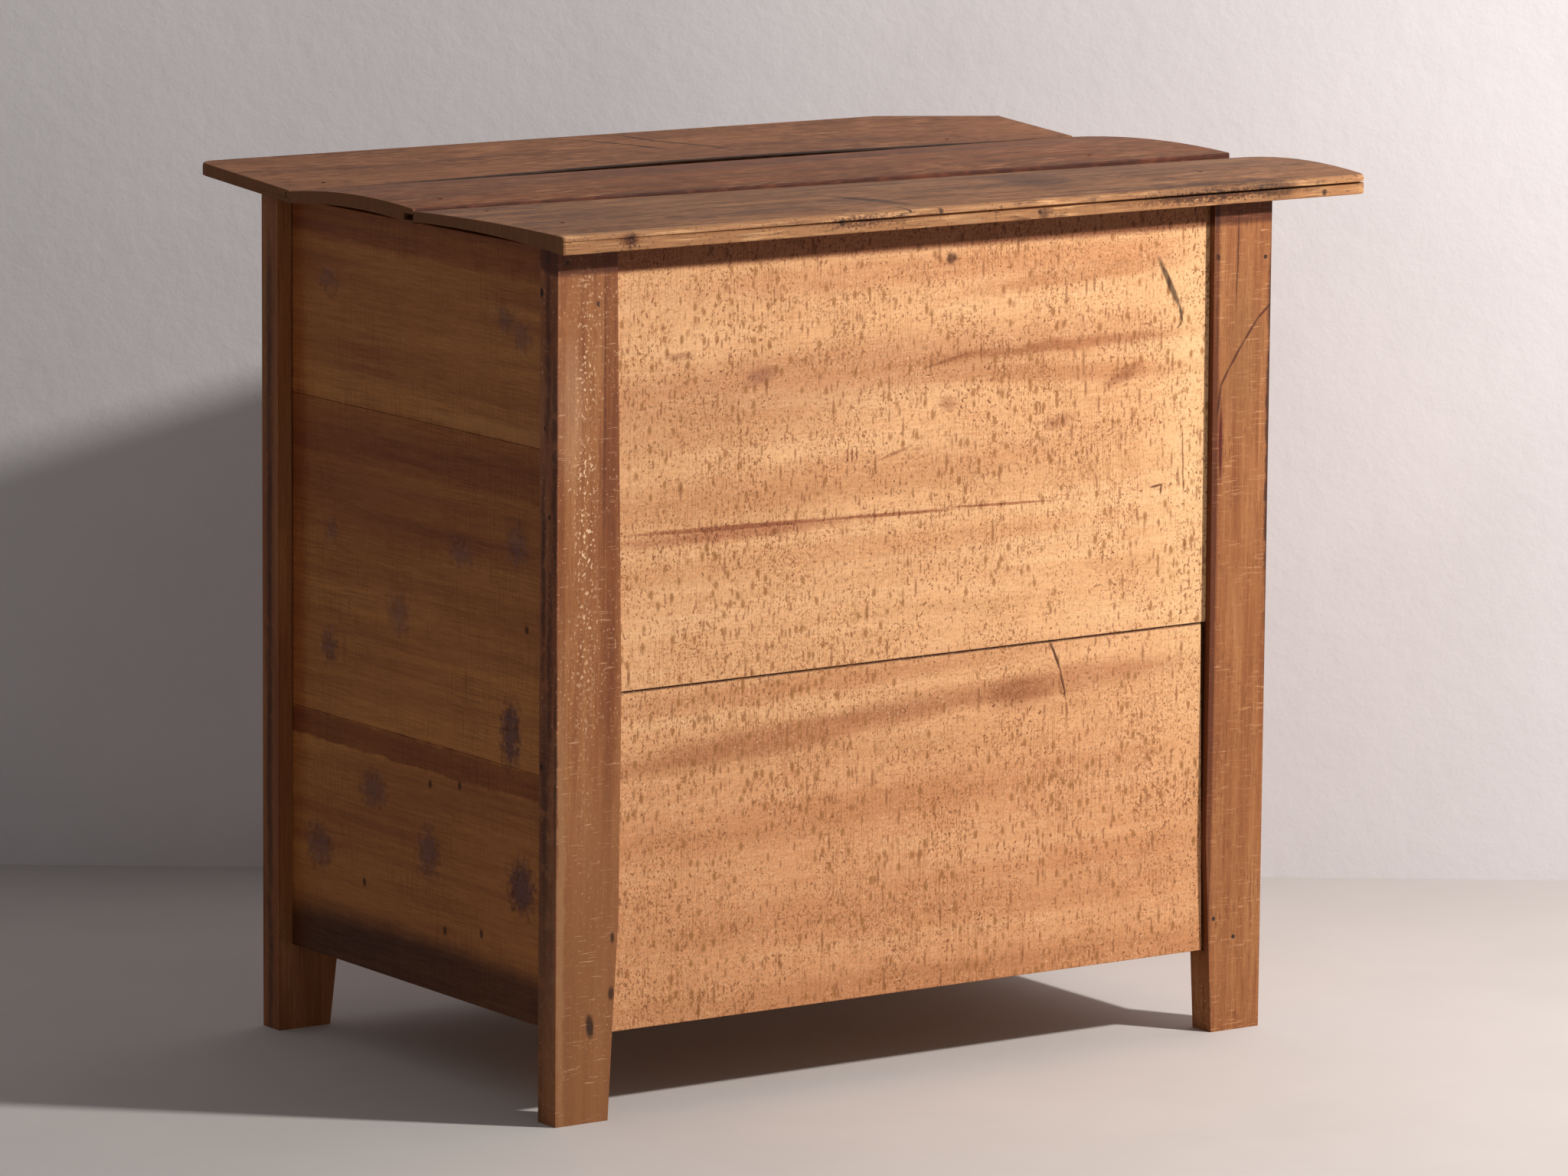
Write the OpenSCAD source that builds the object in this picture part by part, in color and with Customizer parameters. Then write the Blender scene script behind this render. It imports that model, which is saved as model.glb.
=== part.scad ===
// Low cupboard of old beech. Four flat posts carry grooved side boards, a two-board back
// and a loose top of three tongued boards that have cupped with age. Two framed doors
// close the front: the left one has a shoot bolt, the right one a rim lock with its key.
// Millimetres. The front faces -Y. Left and right are as seen from the front.

/* [Case] */
// Width over the posts
case_w = 806; // [700:1:1000]
// Depth over the posts
case_d = 514; // [440:1:620]
// Height to the tops of the posts
case_h = 803; // [740:1:900]
// Room left at a sliding or loose wooden fit
fit = 0.2; // [0.1:0.05:0.4]

/* [Posts] */
// Thickness of a post, front to back
post_t = 29; // [27:1:40]
// Width of a front post above its foot
post_w = 67; // [60:1:80]
// Width of the right back post at its top
post_right_top_w = 63.5; // [60:0.5:72]
// Width of the right back post at its belly
post_right_belly_w = 70; // [62:0.5:76]
// Width of the left back post at its top
post_left_top_w = 68; // [62:0.5:74]
// Width of the left back post at its belly
post_left_belly_w = 66; // [62:0.5:74]
// Height of the belly of the back posts
post_belly_z = 394; // [300:1:500]
// Height at which the back posts start to narrow to the foot
post_taper_z = 190; // [130:1:260]
// Width of every post at the floor
foot_w = 57; // [44:1:60]

/* [Side boards] */
// Thickness of the side boards
side_t = 14; // [10:0.5:18]
// Depth of the side boards behind the posts' outer faces
side_recess = 15; // [8:0.5:20]
// Depth of the groove in the posts for the side boards
side_groove = 10; // [6:0.5:12]
// Height of the lower edge of the side boards
side_z = 83; // [60:1:90]
// Height of the lower seam in each side
side_seam_low = 316.5; // [250:0.5:400]
// Height of the upper seam in each side
side_seam_high = 616; // [560:1:680]
// Distance of the side boards' top edge below the posts' tops
side_drop = 3; // [2.8:0.1:6]

/* [Tongue and groove] */
// Thickness of a tongue
tongue_t = 4.5; // [3:0.1:5]
// Length of a tongue
tongue_d = 5.5; // [4:0.1:8]

/* [Back boards] */
// Thickness of the back boards
back_t = 12; // [9:0.5:15]
// Depth of the back boards behind the posts' back faces
back_recess = 7.5; // [5:0.5:14]
// Depth of the groove in the posts that takes a back board's end
back_groove = 8; // [6:0.5:14]
// Height of the lower edge of the back
back_z = 80; // [60:1:90]
// Height of the seam between the back boards at the right
back_seam_right = 394; // [330:1:450]
// Height of the seam between the back boards at the left
back_seam_left = 399; // [330:1:450]
// Gap that has opened along the seam
back_seam_gap = 0.8; // [0.3:0.1:3]
// Lap of the lower board behind the left post at its bottom
back_lap_low = 3; // [1:0.5:8]
// Amount by which that board is short of the opening's edge at its top
back_short = 4; // [0:0.5:8]

/* [Top boards] */
// Thickness of the front top board
top_front_t = 11.8; // [11.4:0.2:16]
// Thickness of the middle top board at its front edge
top_middle_t_front = 11.2; // [10.8:0.1:14]
// Thickness of the middle top board at its back edge
top_middle_t = 14; // [13:0.5:18]
// Height of the back top board's upper face above its seat
top_back_t = 15; // [14:0.5:20]
// Reach of the top past the posts at the front
overhang_front = 102.5; // [60:0.5:115]
// Reach of the top past the posts at the back, at its right end
overhang_back_right = 24; // [0:0.5:40]
// The same at its left end
overhang_back_left = 18; // [0:0.5:40]
// Reach of the top past the posts at the left
overhang_left = 103; // [60:1:140]
// Reach of the top past the posts at the right
overhang_right = 10; // [0:1:60]
// Amount by which the front and middle boards stop short of the back one at the left
top_end_step = 8; // [0:1:15]
// Width of the front top board
top_front_w = 169; // [160:1:180]
// Width of the back top board at its right end
top_back_w_right = 252.5; // [200:0.5:270]
// Width of the back top board at its left end
top_back_w_left = 208.5; // [180:0.5:260]
// Gap between top boards
top_gap = 0.5; // [0.3:0.1:2]
// Rise of the front board over its own width, towards the front
top_front_lift = 11.2; // [9:0.1:12]
// Rise of that board's back edge at the highest place of its bow
top_front_bow = 3.2; // [0:0.1:4]
// Place of that bow along the top
top_bow_x = -60; // [-120:5:120]
// Reach of that bow to each side
top_bow_reach = 380; // [300:10:400]
// Crown of the middle board
top_middle_crown = 5.6; // [0:0.1:10]
// Height by which the middle board's back edge stands above its seat at the right
top_middle_lift_right = 3.2; // [0.5:0.1:5]
// The same at the left
top_middle_lift_left = 6.2; // [0.5:0.1:8]
// Crown of the back board at its right end
top_back_crown_right = 2.2; // [0:0.1:8]
// The same at its left end
top_back_crown_left = 6.2; // [0:0.1:9]
// Hollow of the back board's underside at its right end
top_back_hollow_right = 4; // [4:0.1:8]
// The same at its left end
top_back_hollow_left = 6; // [4:0.1:9]
// Drop of that underside's back edge below the posts' tops
top_back_drop = 1.5; // [0:0.1:1.6]
// Wood below the back board's tongue
top_back_shoulder = 1.5; // [1.3:0.1:3]
// Lift of the back board's left end
top_back_lift_left = 1.4; // [0:0.1:4]
// Radius of the top's rounded corners in plan
top_corner_r = 14; // [6:1:24]
// Length of the slanting cut at the front board's left corner
top_cut_x = 124; // [40:1:160]
// Width of that slanting cut
top_cut_y = 41; // [10:1:60]
// Radius of the top's worn outer edges
top_arris_r = 3.5; // [1.5:0.5:5]
// Wood below the groove in the middle board's back edge, at the right
groove_lip_right = 3.5; // [2.5:0.1:5]
// The same at the left
groove_lip_left = 3; // [2.5:0.1:5]
// Length over which the groove at the right end is broken out and the tongue is gone
broken_l = 9; // [4:1:14]
// Depth to which it is broken out
broken_d = 16; // [8:1:20]
// Height of the groove in the top's back edge above the posts' tops
edge_groove_z = 8.4; // [6:0.1:10]
// Depth of the groove in the top's back edge at the left
edge_groove_left = 6; // [1:0.5:8]
// Depth of that groove at the right, where it runs out
edge_groove_right = 1; // [0.5:0.5:6]

/* [Rails, floor and shelf] */
// Thickness of the front rails and the doors
rail_t = 22; // [18:0.5:25]
// Height of the top front rail
rail_top_h = 48; // [36:1:70]
// Height of the bottom front rail
rail_bottom_h = 45; // [36:1:70]
// Length of a rail's tenon
tenon_l = 30; // [20:1:34]
// Thickness of a tenon
tenon_t = 8; // [6:0.5:9]
// Shoulder above and below a tenon
tenon_shoulder = 6; // [3:0.5:10]
// Thickness of the floor boards
floor_t = 14; // [10:0.5:20]
// Height of the floor's upper face above the bottom rail
floor_lip = 10; // [4:0.5:13]
// Thickness of the shelf boards
shelf_t = 14; // [10:0.5:20]
// Height of the shelf's upper face
shelf_z = 440; // [300:1:560]
// Distance from the front of the posts to the shelf's front edge
shelf_setback = 52; // [46:1:120]
// Width of a cleat
cleat_w = 26; // [16:0.5:26]
// Height of the floor and top cleats
cleat_h = 40; // [24:1:41]
// Height of the shelf cleats
shelf_cleat_h = 24; // [16:1:36]
// Radius of a peg
peg_r = 4; // [3:0.5:5]
// Radius of a nail's shank
nail_r = 1.6; // [1:0.1:2]
// Radius of a nail's head
nail_head_r = 3.2; // [2:0.1:4]
// Radius of the smaller heads in the back posts
post_nail_head_r = 2.1; // [2:0.1:3.4]
// Length of a nail
nail_l = 45; // [36:1:60]
// Length of a short nail, which ends inside a post
short_nail_l = 24; // [16:1:26]

/* [Doors] */
// Room above and below the doors
door_gap = 2; // [1:0.5:4]
// Room between the two doors
meeting_gap = 2; // [1:0.5:4]
// Width of a door stile
stile_w = 58; // [54:1:80]
// Height of a door's top rail
door_rail_top_h = 58; // [44:1:90]
// Height of a door's bottom rail
door_rail_bottom_h = 70; // [44:1:100]
// Thickness of a door panel's edge
panel_edge_t = 6; // [4:0.5:7]
// Height of the panel's raised field above its edge
panel_field = 4; // [2:0.5:6]
// Width of the bevel round the field
panel_bevel = 34; // [16:1:60]
// Depth of the groove round the panel
panel_groove = 9; // [6:0.5:12]
// Room for the panel to swell in its groove
panel_play = 1.5; // [0.5:0.1:3]
// Diameter of a door knob
knob_d = 32; // [24:1:44]
// Reach of a knob in front of the door
knob_l = 30; // [20:1:45]
// Radius of a knob's spigot
spigot_r = 5; // [4:0.5:7]
// Height of the knobs
knob_z = 500; // [488:1:600]

/* [Hinges] */
// Length of a hinge
hinge_h = 60; // [40:1:90]
// Radius of a hinge's barrel
barrel_r = 3.5; // [3:0.1:5]
// Radius of a hinge pin
pin_r = 1.6; // [1.2:0.1:2]
// Thickness of a hinge leaf
leaf_t = 1.35; // [1:0.05:1.6]
// Room between two closed leaves
leaf_gap = 0.3; // [0.2:0.05:0.6]
// Width of a hinge leaf
leaf_w = 20; // [16:0.5:21]
// Distance from a door's end to the near end of its hinge
hinge_inset = 75; // [40:1:120]
// Running room between the pin and its knuckles
pin_play = 0.05; // [0.02:0.01:0.1]
// Radius of a screw's shank
screw_r = 1.5; // [1:0.1:1.8]
// Radius of a screw's head
screw_head_r = 2.9; // [2:0.1:3.4]
// Length of a screw
screw_l = 14; // [8:1:18]

/* [Lock] */
// Height of the keyhole
key_z = 430; // [380:1:450]
// Width of the lock's case
lock_w = 50; // [48:0.5:54]
// Height of the lock's case
lock_h = 68; // [60:1:80]
// Depth of the lock's case
lock_d = 14; // [12:0.5:16]
// Wall of the lock's case
lock_wall = 1.5; // [1:0.1:2]
// Reach of the case's screw flanges above and below
lock_flange = 10; // [8:0.5:14]
// Height of the lock's bolt
bolt_h = 14; // [10:0.5:18]
// Thickness of the lock's bolt
bolt_t = 5; // [4:0.5:7]
// Travel of the lock's bolt
bolt_travel = 10; // [6:0.5:11]
// Turn of the key that throws the bolt
key_turn = 350; // [300:5:355]
// Radius of the key's stem
key_r = 2.6; // [2:0.1:3.2]
// Reach of the key's bit from its axis
bit_l = 10; // [8.5:0.5:11]
// Thickness of the key's bit
bit_t = 2.4; // [1.6:0.1:3]
// Reach of the key in front of the door
key_out = 42; // [34:1:55]
// Width of the keyhole plate
plate_w = 22; // [18:1:30]
// Height of the keyhole plate
plate_h = 38; // [34:1:50]
// Thickness of the keyhole plate
plate_t = 1.5; // [1:0.1:2.5]

/* [Shoot bolt] */
// Width of the shoot bolt's bar
shoot_w = 12; // [8:0.5:16]
// Thickness of the shoot bolt's bar
shoot_t = 5; // [3:0.5:7]
// Length of the shoot bolt's bar
shoot_l = 92; // [80:1:120]
// Travel of the shoot bolt
shoot_travel = 16; // [8:1:24]
// Length of the shoot bolt's plate
shoot_plate_l = 84; // [70:1:86]
// Width of the shoot bolt's plate
shoot_plate_w = 26; // [22:1:34]
// Thickness of the shoot bolt's plate
shoot_plate_t = 2; // [1:0.5:3]
// Room round the bar in its guides
shoot_play = 0.3; // [0.2:0.05:0.6]

/* [Hidden] */
$fn = 48;

// The top's box sets the origin: the case stands off it by half the uneven overhangs
case_x = (overhang_left - overhang_right) / 2;
case_y = (overhang_front - overhang_back_right) / 2;
// Half sizes of the case
half_w = case_w / 2;
half_d = case_d / 2;
// Front faces and back faces of the front members
front_y = -half_d;
door_back_y = front_y + rail_t;
// Posts' faces towards the inside
post_in_y = half_d - post_t;
// Side boards' faces
side_out_x = half_w - side_recess;
side_in_x = side_out_x - side_t;
side_top_z = case_h - side_drop;
// Back boards' faces
back_out_y = half_d - back_recess;
back_in_y = back_out_y - back_t;
// Front opening
open_x = half_w - post_w;
// Ends of the back boards in the posts' grooves, and the room that they have there
back_end_x = open_x + back_groove;
back_end_room = 1;
// Inner edge of the wider back post, and the room round a post in a board notched for it
belly_in_x = half_w - max(post_right_belly_w, post_left_belly_w);
notch_room = 0.5;
rail_low_z = side_z;
open_low_z = rail_low_z + rail_bottom_h;
open_high_z = case_h - rail_top_h;
// Floor's faces
floor_top_z = open_low_z + floor_lip;
floor_low_z = floor_top_z - floor_t;
// Contact seats between pieces that lie face to face
seat = 0.02;
// Nothing that is cut may end on the face that it opens
cut = 1;
// Gap between pieces that lie close without touching
close_gap = 0.3;

// Top boards
top_left_x = -half_w - overhang_left;
top_right_x = half_w + overhang_right;
top_front_y = front_y - overhang_front;
// Underside of the top where it sits on the side boards
top_seat_z = side_top_z + close_gap;
// Seams of the top, at the right and at the left
seam_front_y = top_front_y + top_front_w;
seam_back_right_y = half_d + overhang_back_right - top_back_w_right;
seam_back_left_y = half_d + overhang_back_left - top_back_w_left;
// Slope of the front board, which rocks on the inner arris of the front posts
top_front_slope = top_front_lift / top_front_w;
top_front_back_z = max(top_seat_z, case_h - top_front_slope * (seam_front_y + post_in_y));
// Wood above the middle board's front tongue
tongue_cover = 1.5;
// Tongues of the middle and back boards
tongue_middle_z = top_seat_z + top_middle_t_front - tongue_cover - tongue_t;
tongue_back_right_z = top_seat_z + top_middle_lift_right + groove_lip_right;
tongue_back_left_z = top_seat_z + top_middle_lift_left + groove_lip_left;
// Wood lost above and below the tongue where the groove is broken out
broken_room = 0.7;
// What is left of the tongue there, and the length over which the break runs
tongue_stub = 0.5;
broken_run = 1.5;
// Depth of the top boards' grooves, and the radius of their arrises at a seam
top_groove_d = tongue_d + 1;
seam_arris_r = 0.6;
// Radius of the arrises under the top's outer edges
under_arris_r = 1;
// Share by which the front board's groove opens more than the board bows
groove_wear = 0.25;
// Flat kept between an arris and a cupped face's first point
arris_room = 2;
// Pieces of a cupped face's curve and of a rounded corner
top_steps = 10;
corner_steps = 4;
bow_steps = 9;

function mix(a, b, u) = a + (b - a) * u;

// Share of the way from the left end of the top to its right end
function along(x) = (x - top_left_x) / (top_right_x - top_left_x);

// Quarter round of radius r at the corner [y, z], turned so that it joins an edge along Y to one along Z
function arris(y, z, sy, sz, r, back) =
    [for (i = [0 : 3]) let (a = (back ? 3 - i : i) * 30)
        [y - sy * r * (1 - sin(a)), z - sz * r * (1 - cos(a))]];

// Height of a cupped face at share u of its width; a face is [z at its front edge, z at its back edge, crown]
function cup(face, u) = mix(face[0], face[1], u) + 4 * face[2] * u * (1 - u);

// Line over a cupped face between its arrises, from front to back
function cup_line(y0, y1, face, inset0, inset1) =
    [for (i = [0 : top_steps])
        let (y = mix(y0 + inset0, y1 - inset1, i / top_steps), u = (y - y0) / (y1 - y0))
        [y, cup(face, u)]];

function reversed(list) = [for (i = [len(list) - 1 : -1 : 0]) list[i]];

// Cross-section of a top board: its front and back edges, its faces below and above, the tongue
// as [z, depth], the groove as [z, depth, height], and the radii of the arrises [front below,
// back below, back above, front above]
function board_section(y0, y1, under, over, tongue, groove, r) =
    concat(
        arris(y0, under[0], -1, -1, r[0], true),
        cup_line(y0, y1, under, r[0] + arris_room, r[1] + arris_room),
        arris(y1, under[1], 1, -1, r[1], false),
        is_undef(groove) ? [] : [[y1, groove[0]], [y1 - groove[1], groove[0]],
                                 [y1 - groove[1], groove[0] + groove[2]], [y1, groove[0] + groove[2]]],
        arris(y1, over[1], 1, 1, r[2], true),
        reversed(cup_line(y0, y1, over, r[3] + arris_room, r[2] + arris_room)),
        arris(y0, over[0], -1, 1, r[3], false),
        is_undef(tongue) ? [] : [[y0, tongue[0] + tongue_t], [y0 - tongue[1], tongue[0] + tongue_t],
                                 [y0 - tongue[1], tongue[0]], [y0, tongue[0]]]
    );

// Skin over a row of equal cross-sections at the places xs
module loft(xs, sections) {
    n = len(sections[0]);
    last = len(xs) - 1;
    points = [for (i = [0 : last]) for (p = sections[i]) [xs[i], p[0], p[1]]];
    sides = [for (i = [0 : last - 1]) for (j = [0 : n - 1])
        let (a = i * n + j, b = i * n + (j + 1) % n)
        each [[a, b, a + n], [b, b + n, a + n]]];
    start = [[for (j = [n - 1 : -1 : 0]) j]];
    end = [[for (j = [0 : n - 1]) last * n + j]];
    polyhedron(points = points, faces = concat(sides, start, end), convexity = 6);
}

module in_case() {
    translate([case_x, case_y, 0]) children();
}

module on_side(s) {
    mirror([s < 0 ? 1 : 0, 0, 0]) children();
}

module box(low, high) {
    translate(low) cube(high - low);
}

// Straight rod along Y between two places
module rod_y(x, z, r, y0, y1) {
    translate([x, y0, z]) rotate([-90, 0, 0]) cylinder(r = r, h = y1 - y0);
}

// Posts

// Outline of a post's broad face: outer edge straight, inner edge worked by hand
module post_face(outline) {
    polygon(concat([[half_w, 0], [half_w, case_h]], outline));
}

function front_outline() = [
    [open_x, case_h], [open_x, side_z], [half_w - foot_w, 0]
];

function back_outline(top_w, belly_w) = [
    [half_w - top_w, case_h],
    [half_w - belly_w, post_belly_z],
    [half_w - mix(belly_w, post_w, 0.7), post_taper_z],
    [half_w - mix(foot_w, post_w, 0.45), side_z],
    [half_w - foot_w, 0]
];

module post_blank(outline, y0) {
    translate([0, y0 + post_t, 0]) rotate([90, 0, 0]) linear_extrude(post_t) post_face(outline);
}

// Room for the side boards' ends, cut into the face that looks along the side
module side_groove_cut(y_face, sy) {
    low_y = min(y_face - sy * cut, y_face + sy * (side_groove + fit));
    high_y = max(y_face - sy * cut, y_face + sy * (side_groove + fit));
    box([side_in_x - seat, low_y, side_z - seat], [side_out_x + seat, high_y, case_h + cut]);
}

module post_front() {
    color("#a5693c")
    difference() {
        post_blank(front_outline(), front_y);
        side_groove_cut(-post_in_y, -1);
        mortise(open_low_z - rail_bottom_h, rail_bottom_h);
        mortise(open_high_z, rail_top_h);
        for (z = frame_peg_z) rod_y(frame_peg_x, z, peg_r + seat, front_y - cut, peg_end_y + seat);
        hinge_screw_holes(1);
    }
}

module post_back(outline, nails) {
    color("#a5693c")
    difference() {
        post_blank(outline, post_in_y);
        side_groove_cut(post_in_y, 1);
        box([0, back_in_y - seat, back_z - back_end_room],
            [back_end_x + back_end_room, back_out_y + seat, case_h + cut]);
        for (n = nails) post_nail(n, seat);
    }
}

// Side boards

function side_tongue_x() = (side_in_x + side_out_x - tongue_t) / 2;

// One side board from z0 to z1, with a tongue up into the next board where it has one
module side_board(z0, z1, has_tongue, has_groove) {
    end_y = post_in_y + side_groove;
    tongue_x = side_tongue_x();
    difference() {
        union() {
            box([side_in_x, -end_y, z0], [side_out_x, end_y, z1]);
            if (has_tongue)
                box([tongue_x, -end_y, z1 - cut], [tongue_x + tongue_t, end_y, z1 + tongue_d]);
        }
        if (has_groove)
            box([tongue_x - fit, -end_y - cut, z0 - cut],
                [tongue_x + tongue_t + fit, end_y + cut, z0 + tongue_d + fit]);
    }
}

module side_lower() {
    color("#a8642c") side_board(side_z, side_seam_low - fit, true, false);
}

module side_middle() {
    color("#b87a3c") side_board(side_seam_low, side_seam_high - fit, true, true);
}

module side_upper() {
    color("#b06a30") side_board(side_seam_high, side_top_z, false, true);
}

// Back boards

module back_sheet(outline) {
    translate([0, back_out_y, 0]) rotate([90, 0, 0]) linear_extrude(back_t) polygon(outline);
}

module back_board_lower() {
    color("#d9a066")
    in_case() back_sheet([
        [-open_x - back_lap_low, back_z],
        [back_end_x, back_z],
        [back_end_x, back_seam_right - back_seam_gap],
        [-open_x + back_short, back_seam_left - back_seam_gap]
    ]);
}

module back_board_upper() {
    color("#dca76e")
    in_case() back_sheet([
        [-back_end_x, back_seam_left],
        [back_end_x, back_seam_right],
        [back_end_x, case_h - close_gap],
        [-back_end_x, case_h - close_gap]
    ]);
}

// Top boards

function corner_ins(i) = top_corner_r * (1 - cos(90 * i / corner_steps));
function corner_run(i) = top_corner_r * (1 - sin(90 * i / corner_steps));

// Rise of the front board's back edge at x
function front_bow(x) = abs(x - top_bow_x) > top_bow_reach ? 0 :
    top_front_bow * (1 + cos(180 * (x - top_bow_x) / top_bow_reach)) / 2;

// Height of the front board's underside at x and y
function front_z(x, y) = top_front_back_z + top_front_slope * (seam_front_y - y) +
    front_bow(x) * (y - top_front_y) / top_front_w;

module top_board_front() {
    x0 = top_left_x + top_end_step;
    bow_xs = [for (i = [1 : bow_steps - 1]) mix(x0 + top_cut_x, top_right_x - top_corner_r, i / bow_steps)];
    xs = concat([x0, x0 + top_cut_x], bow_xs,
        [for (i = [0 : corner_steps]) top_right_x - corner_run(i)]);
    insets = concat([top_cut_y, 0], [for (x = bow_xs) 0], [for (i = [0 : corner_steps]) corner_ins(i)]);
    color("#8f5a38")
    in_case() difference() {
        loft(xs, [for (i = [0 : len(xs) - 1])
            let (y0 = top_front_y + insets[i], y1 = seam_front_y - top_gap / 2,
                under = [front_z(xs[i], y0), front_z(xs[i], y1), 0])
            board_section(y0, y1, under, [under[0] + top_front_t, under[1] + top_front_t, 0],
                undef, [tongue_middle_z - fit, top_groove_d,
                        tongue_t + 2 * fit + (1 + groove_wear) * front_bow(xs[i])],
                [under_arris_r, seam_arris_r, seam_arris_r, top_arris_r])]);
        top_nail_holes(0);
    }
}

function seam_back(x) = mix(seam_back_left_y, seam_back_right_y, along(x));
function tongue_back(x) = mix(tongue_back_left_z, tongue_back_right_z, along(x));
function back_edge(x) = half_d + mix(overhang_back_left, overhang_back_right, along(x));

// Faces of the middle board and of the back board at x, below and above
function middle_under(x) =
    [top_seat_z, top_seat_z + mix(top_middle_lift_left, top_middle_lift_right, along(x)), top_middle_crown];
function middle_over(x) =
    [top_seat_z + top_middle_t_front, middle_under(x)[1] + top_middle_t, top_middle_crown];
function back_under(x) =
    [tongue_back(x) - top_back_shoulder, case_h - top_back_drop,
     mix(top_back_hollow_left, top_back_hollow_right, along(x))];
function back_over(x) =
    [top_seat_z + top_back_t, case_h + top_back_lift_left * (1 - along(x)) + top_back_t,
     mix(top_back_crown_left, top_back_crown_right, along(x))];

// Places along the top between which the back joint changes where it is broken out
broken_xs = [top_right_x - broken_l - broken_run, top_right_x - broken_l];
function is_broken(x) = x > top_right_x - broken_l - broken_run / 2;

module top_board_middle() {
    x0 = top_left_x + top_end_step;
    xs = concat([x0, mix(x0, top_right_x, 0.5)], broken_xs, [top_right_x]);
    color("#935a3a")
    in_case() difference() {
        loft(xs, [for (x = xs)
            board_section(seam_front_y + top_gap / 2, seam_back(x) - top_gap / 2,
                middle_under(x), middle_over(x), [tongue_middle_z, tongue_d],
                is_broken(x) ? [tongue_back(x) - broken_room, broken_d, tongue_t + 2 * broken_room] :
                    [tongue_back(x) - fit, top_groove_d, tongue_t + 2 * fit],
                [seam_arris_r, seam_arris_r, 2 * seam_arris_r, seam_arris_r])]);
        top_nail_holes(1);
    }
}

module top_board_back() {
    corner_xs = [for (i = [corner_steps : -1 : 0]) top_left_x + corner_run(i)];
    xs = concat(corner_xs, [0], broken_xs, [top_right_x]);
    insets = concat([for (i = [corner_steps : -1 : 0]) corner_ins(i)], [0, 0, 0, 0]);
    color("#94653f")
    in_case() difference() {
        loft(xs, [for (i = [0 : len(xs) - 1])
            let (x = xs[i])
            board_section(seam_back(x) + top_gap / 2, back_edge(x) - insets[i],
                back_under(x), back_over(x), [tongue_back(x), is_broken(x) ? tongue_stub : tongue_d],
                [case_h + edge_groove_z, mix(edge_groove_left, edge_groove_right, along(x)), tongue_t / 2],
                [seam_arris_r, under_arris_r, top_arris_r, 2 * seam_arris_r])]);
        top_nail_holes(2);
    }
}

// Nails that hold the top: place in plan and height of the head's upper face
top_nail_x = side_in_x - cleat_w / 2;
top_nail_in = 40;
top_nails_at = [
    for (s = [-1, 1]) [s * top_nail_x, -post_in_y + 12, 0],
    for (s = [-1, 1]) [s * top_nail_x, seam_front_y + top_nail_in, 1],
    for (s = [-1, 1]) [s * top_nail_x, seam_back(s * top_nail_x) - top_nail_in, 1],
    for (s = [-1, 1]) [s * top_nail_x, seam_back(s * top_nail_x) + top_nail_in, 2],
    for (s = [-1, 1]) [s * top_nail_x, back_in_y - top_nail_in, 2]
];

// Height of a top board's upper face at x and y
function top_face_z(x, y, board) =
    board == 0 ? front_z(x, y) + top_front_t :
    board == 1 ? cup(middle_over(x), (y - seam_front_y) / (seam_back(x) - seam_front_y)) :
    cup(back_over(x), (y - seam_back(x)) / (back_edge(x) - seam_back(x)));

// Depth of a nail's head below the wood
nail_sunk = 0.6;
nail_head_h = 1.5;

module top_nail(p, room) {
    z = top_face_z(p[0], p[1], p[2]) - nail_sunk;
    translate([p[0], p[1], z - nail_head_h - room]) cylinder(r = nail_head_r + room, h = nail_head_h + room);
    translate([p[0], p[1], z - nail_l - room]) cylinder(r = nail_r + room, h = nail_l);
}

module top_nail_holes(board) {
    for (p = top_nails_at) if (p[2] == board) {
        top_nail(p, seat);
        translate([p[0], p[1], top_face_z(p[0], p[1], board) - nail_sunk - seat])
            cylinder(r = nail_head_r + seat, h = nail_sunk + cut);
    }
}

module top_nails() {
    color("#3a332e") in_case() for (p = top_nails_at) top_nail(p, 0);
}

// Nails in the back faces of the posts: distance from the post's outer face, height, length
cleat_face = side_recess + side_t;
nails_right = [
    [cleat_face + 8, floor_low_z - 35, nail_l],
    [10, case_h - 12, short_nail_l]
];
nails_left = [
    [cleat_face + 3, floor_low_z - 33, nail_l],
    [post_w - 11, floor_low_z - 13, short_nail_l],
    [7, case_h - 57, short_nail_l]
];

module post_nail(n, room) {
    x = half_w - n[0];
    rod_y(x, n[1], post_nail_head_r + room, half_d - nail_head_h - room, half_d + (room > 0 ? cut : 0));
    rod_y(x, n[1], nail_r + room, half_d - n[2] - room, half_d - nail_head_h);
}

module post_nails() {
    color("#3a332e") in_case() {
        for (n = nails_right) post_nail(n, 0);
        on_side(-1) for (n = nails_left) post_nail(n, 0);
    }
}

// Front rails

tenon_y = front_y + (rail_t - tenon_t) / 2;
// Room beyond a tenon's end in its mortise
mortise_room = 1;
// Wood left behind the end of a peg
peg_blind = 3;
frame_peg_x = open_x + tenon_l / 2;
frame_peg_z = [rail_low_z + rail_bottom_h / 2, open_high_z + rail_top_h / 2];
peg_end_y = door_back_y - peg_blind;

module mortise(z0, h) {
    box([open_x - cut, tenon_y - seat, z0 + tenon_shoulder - seat],
        [open_x + tenon_l + mortise_room, tenon_y + tenon_t + seat, z0 + h - tenon_shoulder + seat]);
}

module front_rail(z0, h) {
    color("#a5693c")
    in_case() difference() {
        union() {
            box([-open_x + seat, front_y, z0], [open_x - seat, door_back_y, z0 + h]);
            box([-open_x - tenon_l, tenon_y, z0 + tenon_shoulder],
                [open_x + tenon_l, tenon_y + tenon_t, z0 + h - tenon_shoulder]);
        }
        for (s = [-1, 1])
            rod_y(s * frame_peg_x, z0 + h / 2, peg_r + seat, front_y - cut, door_back_y + cut);
    }
}

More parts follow.
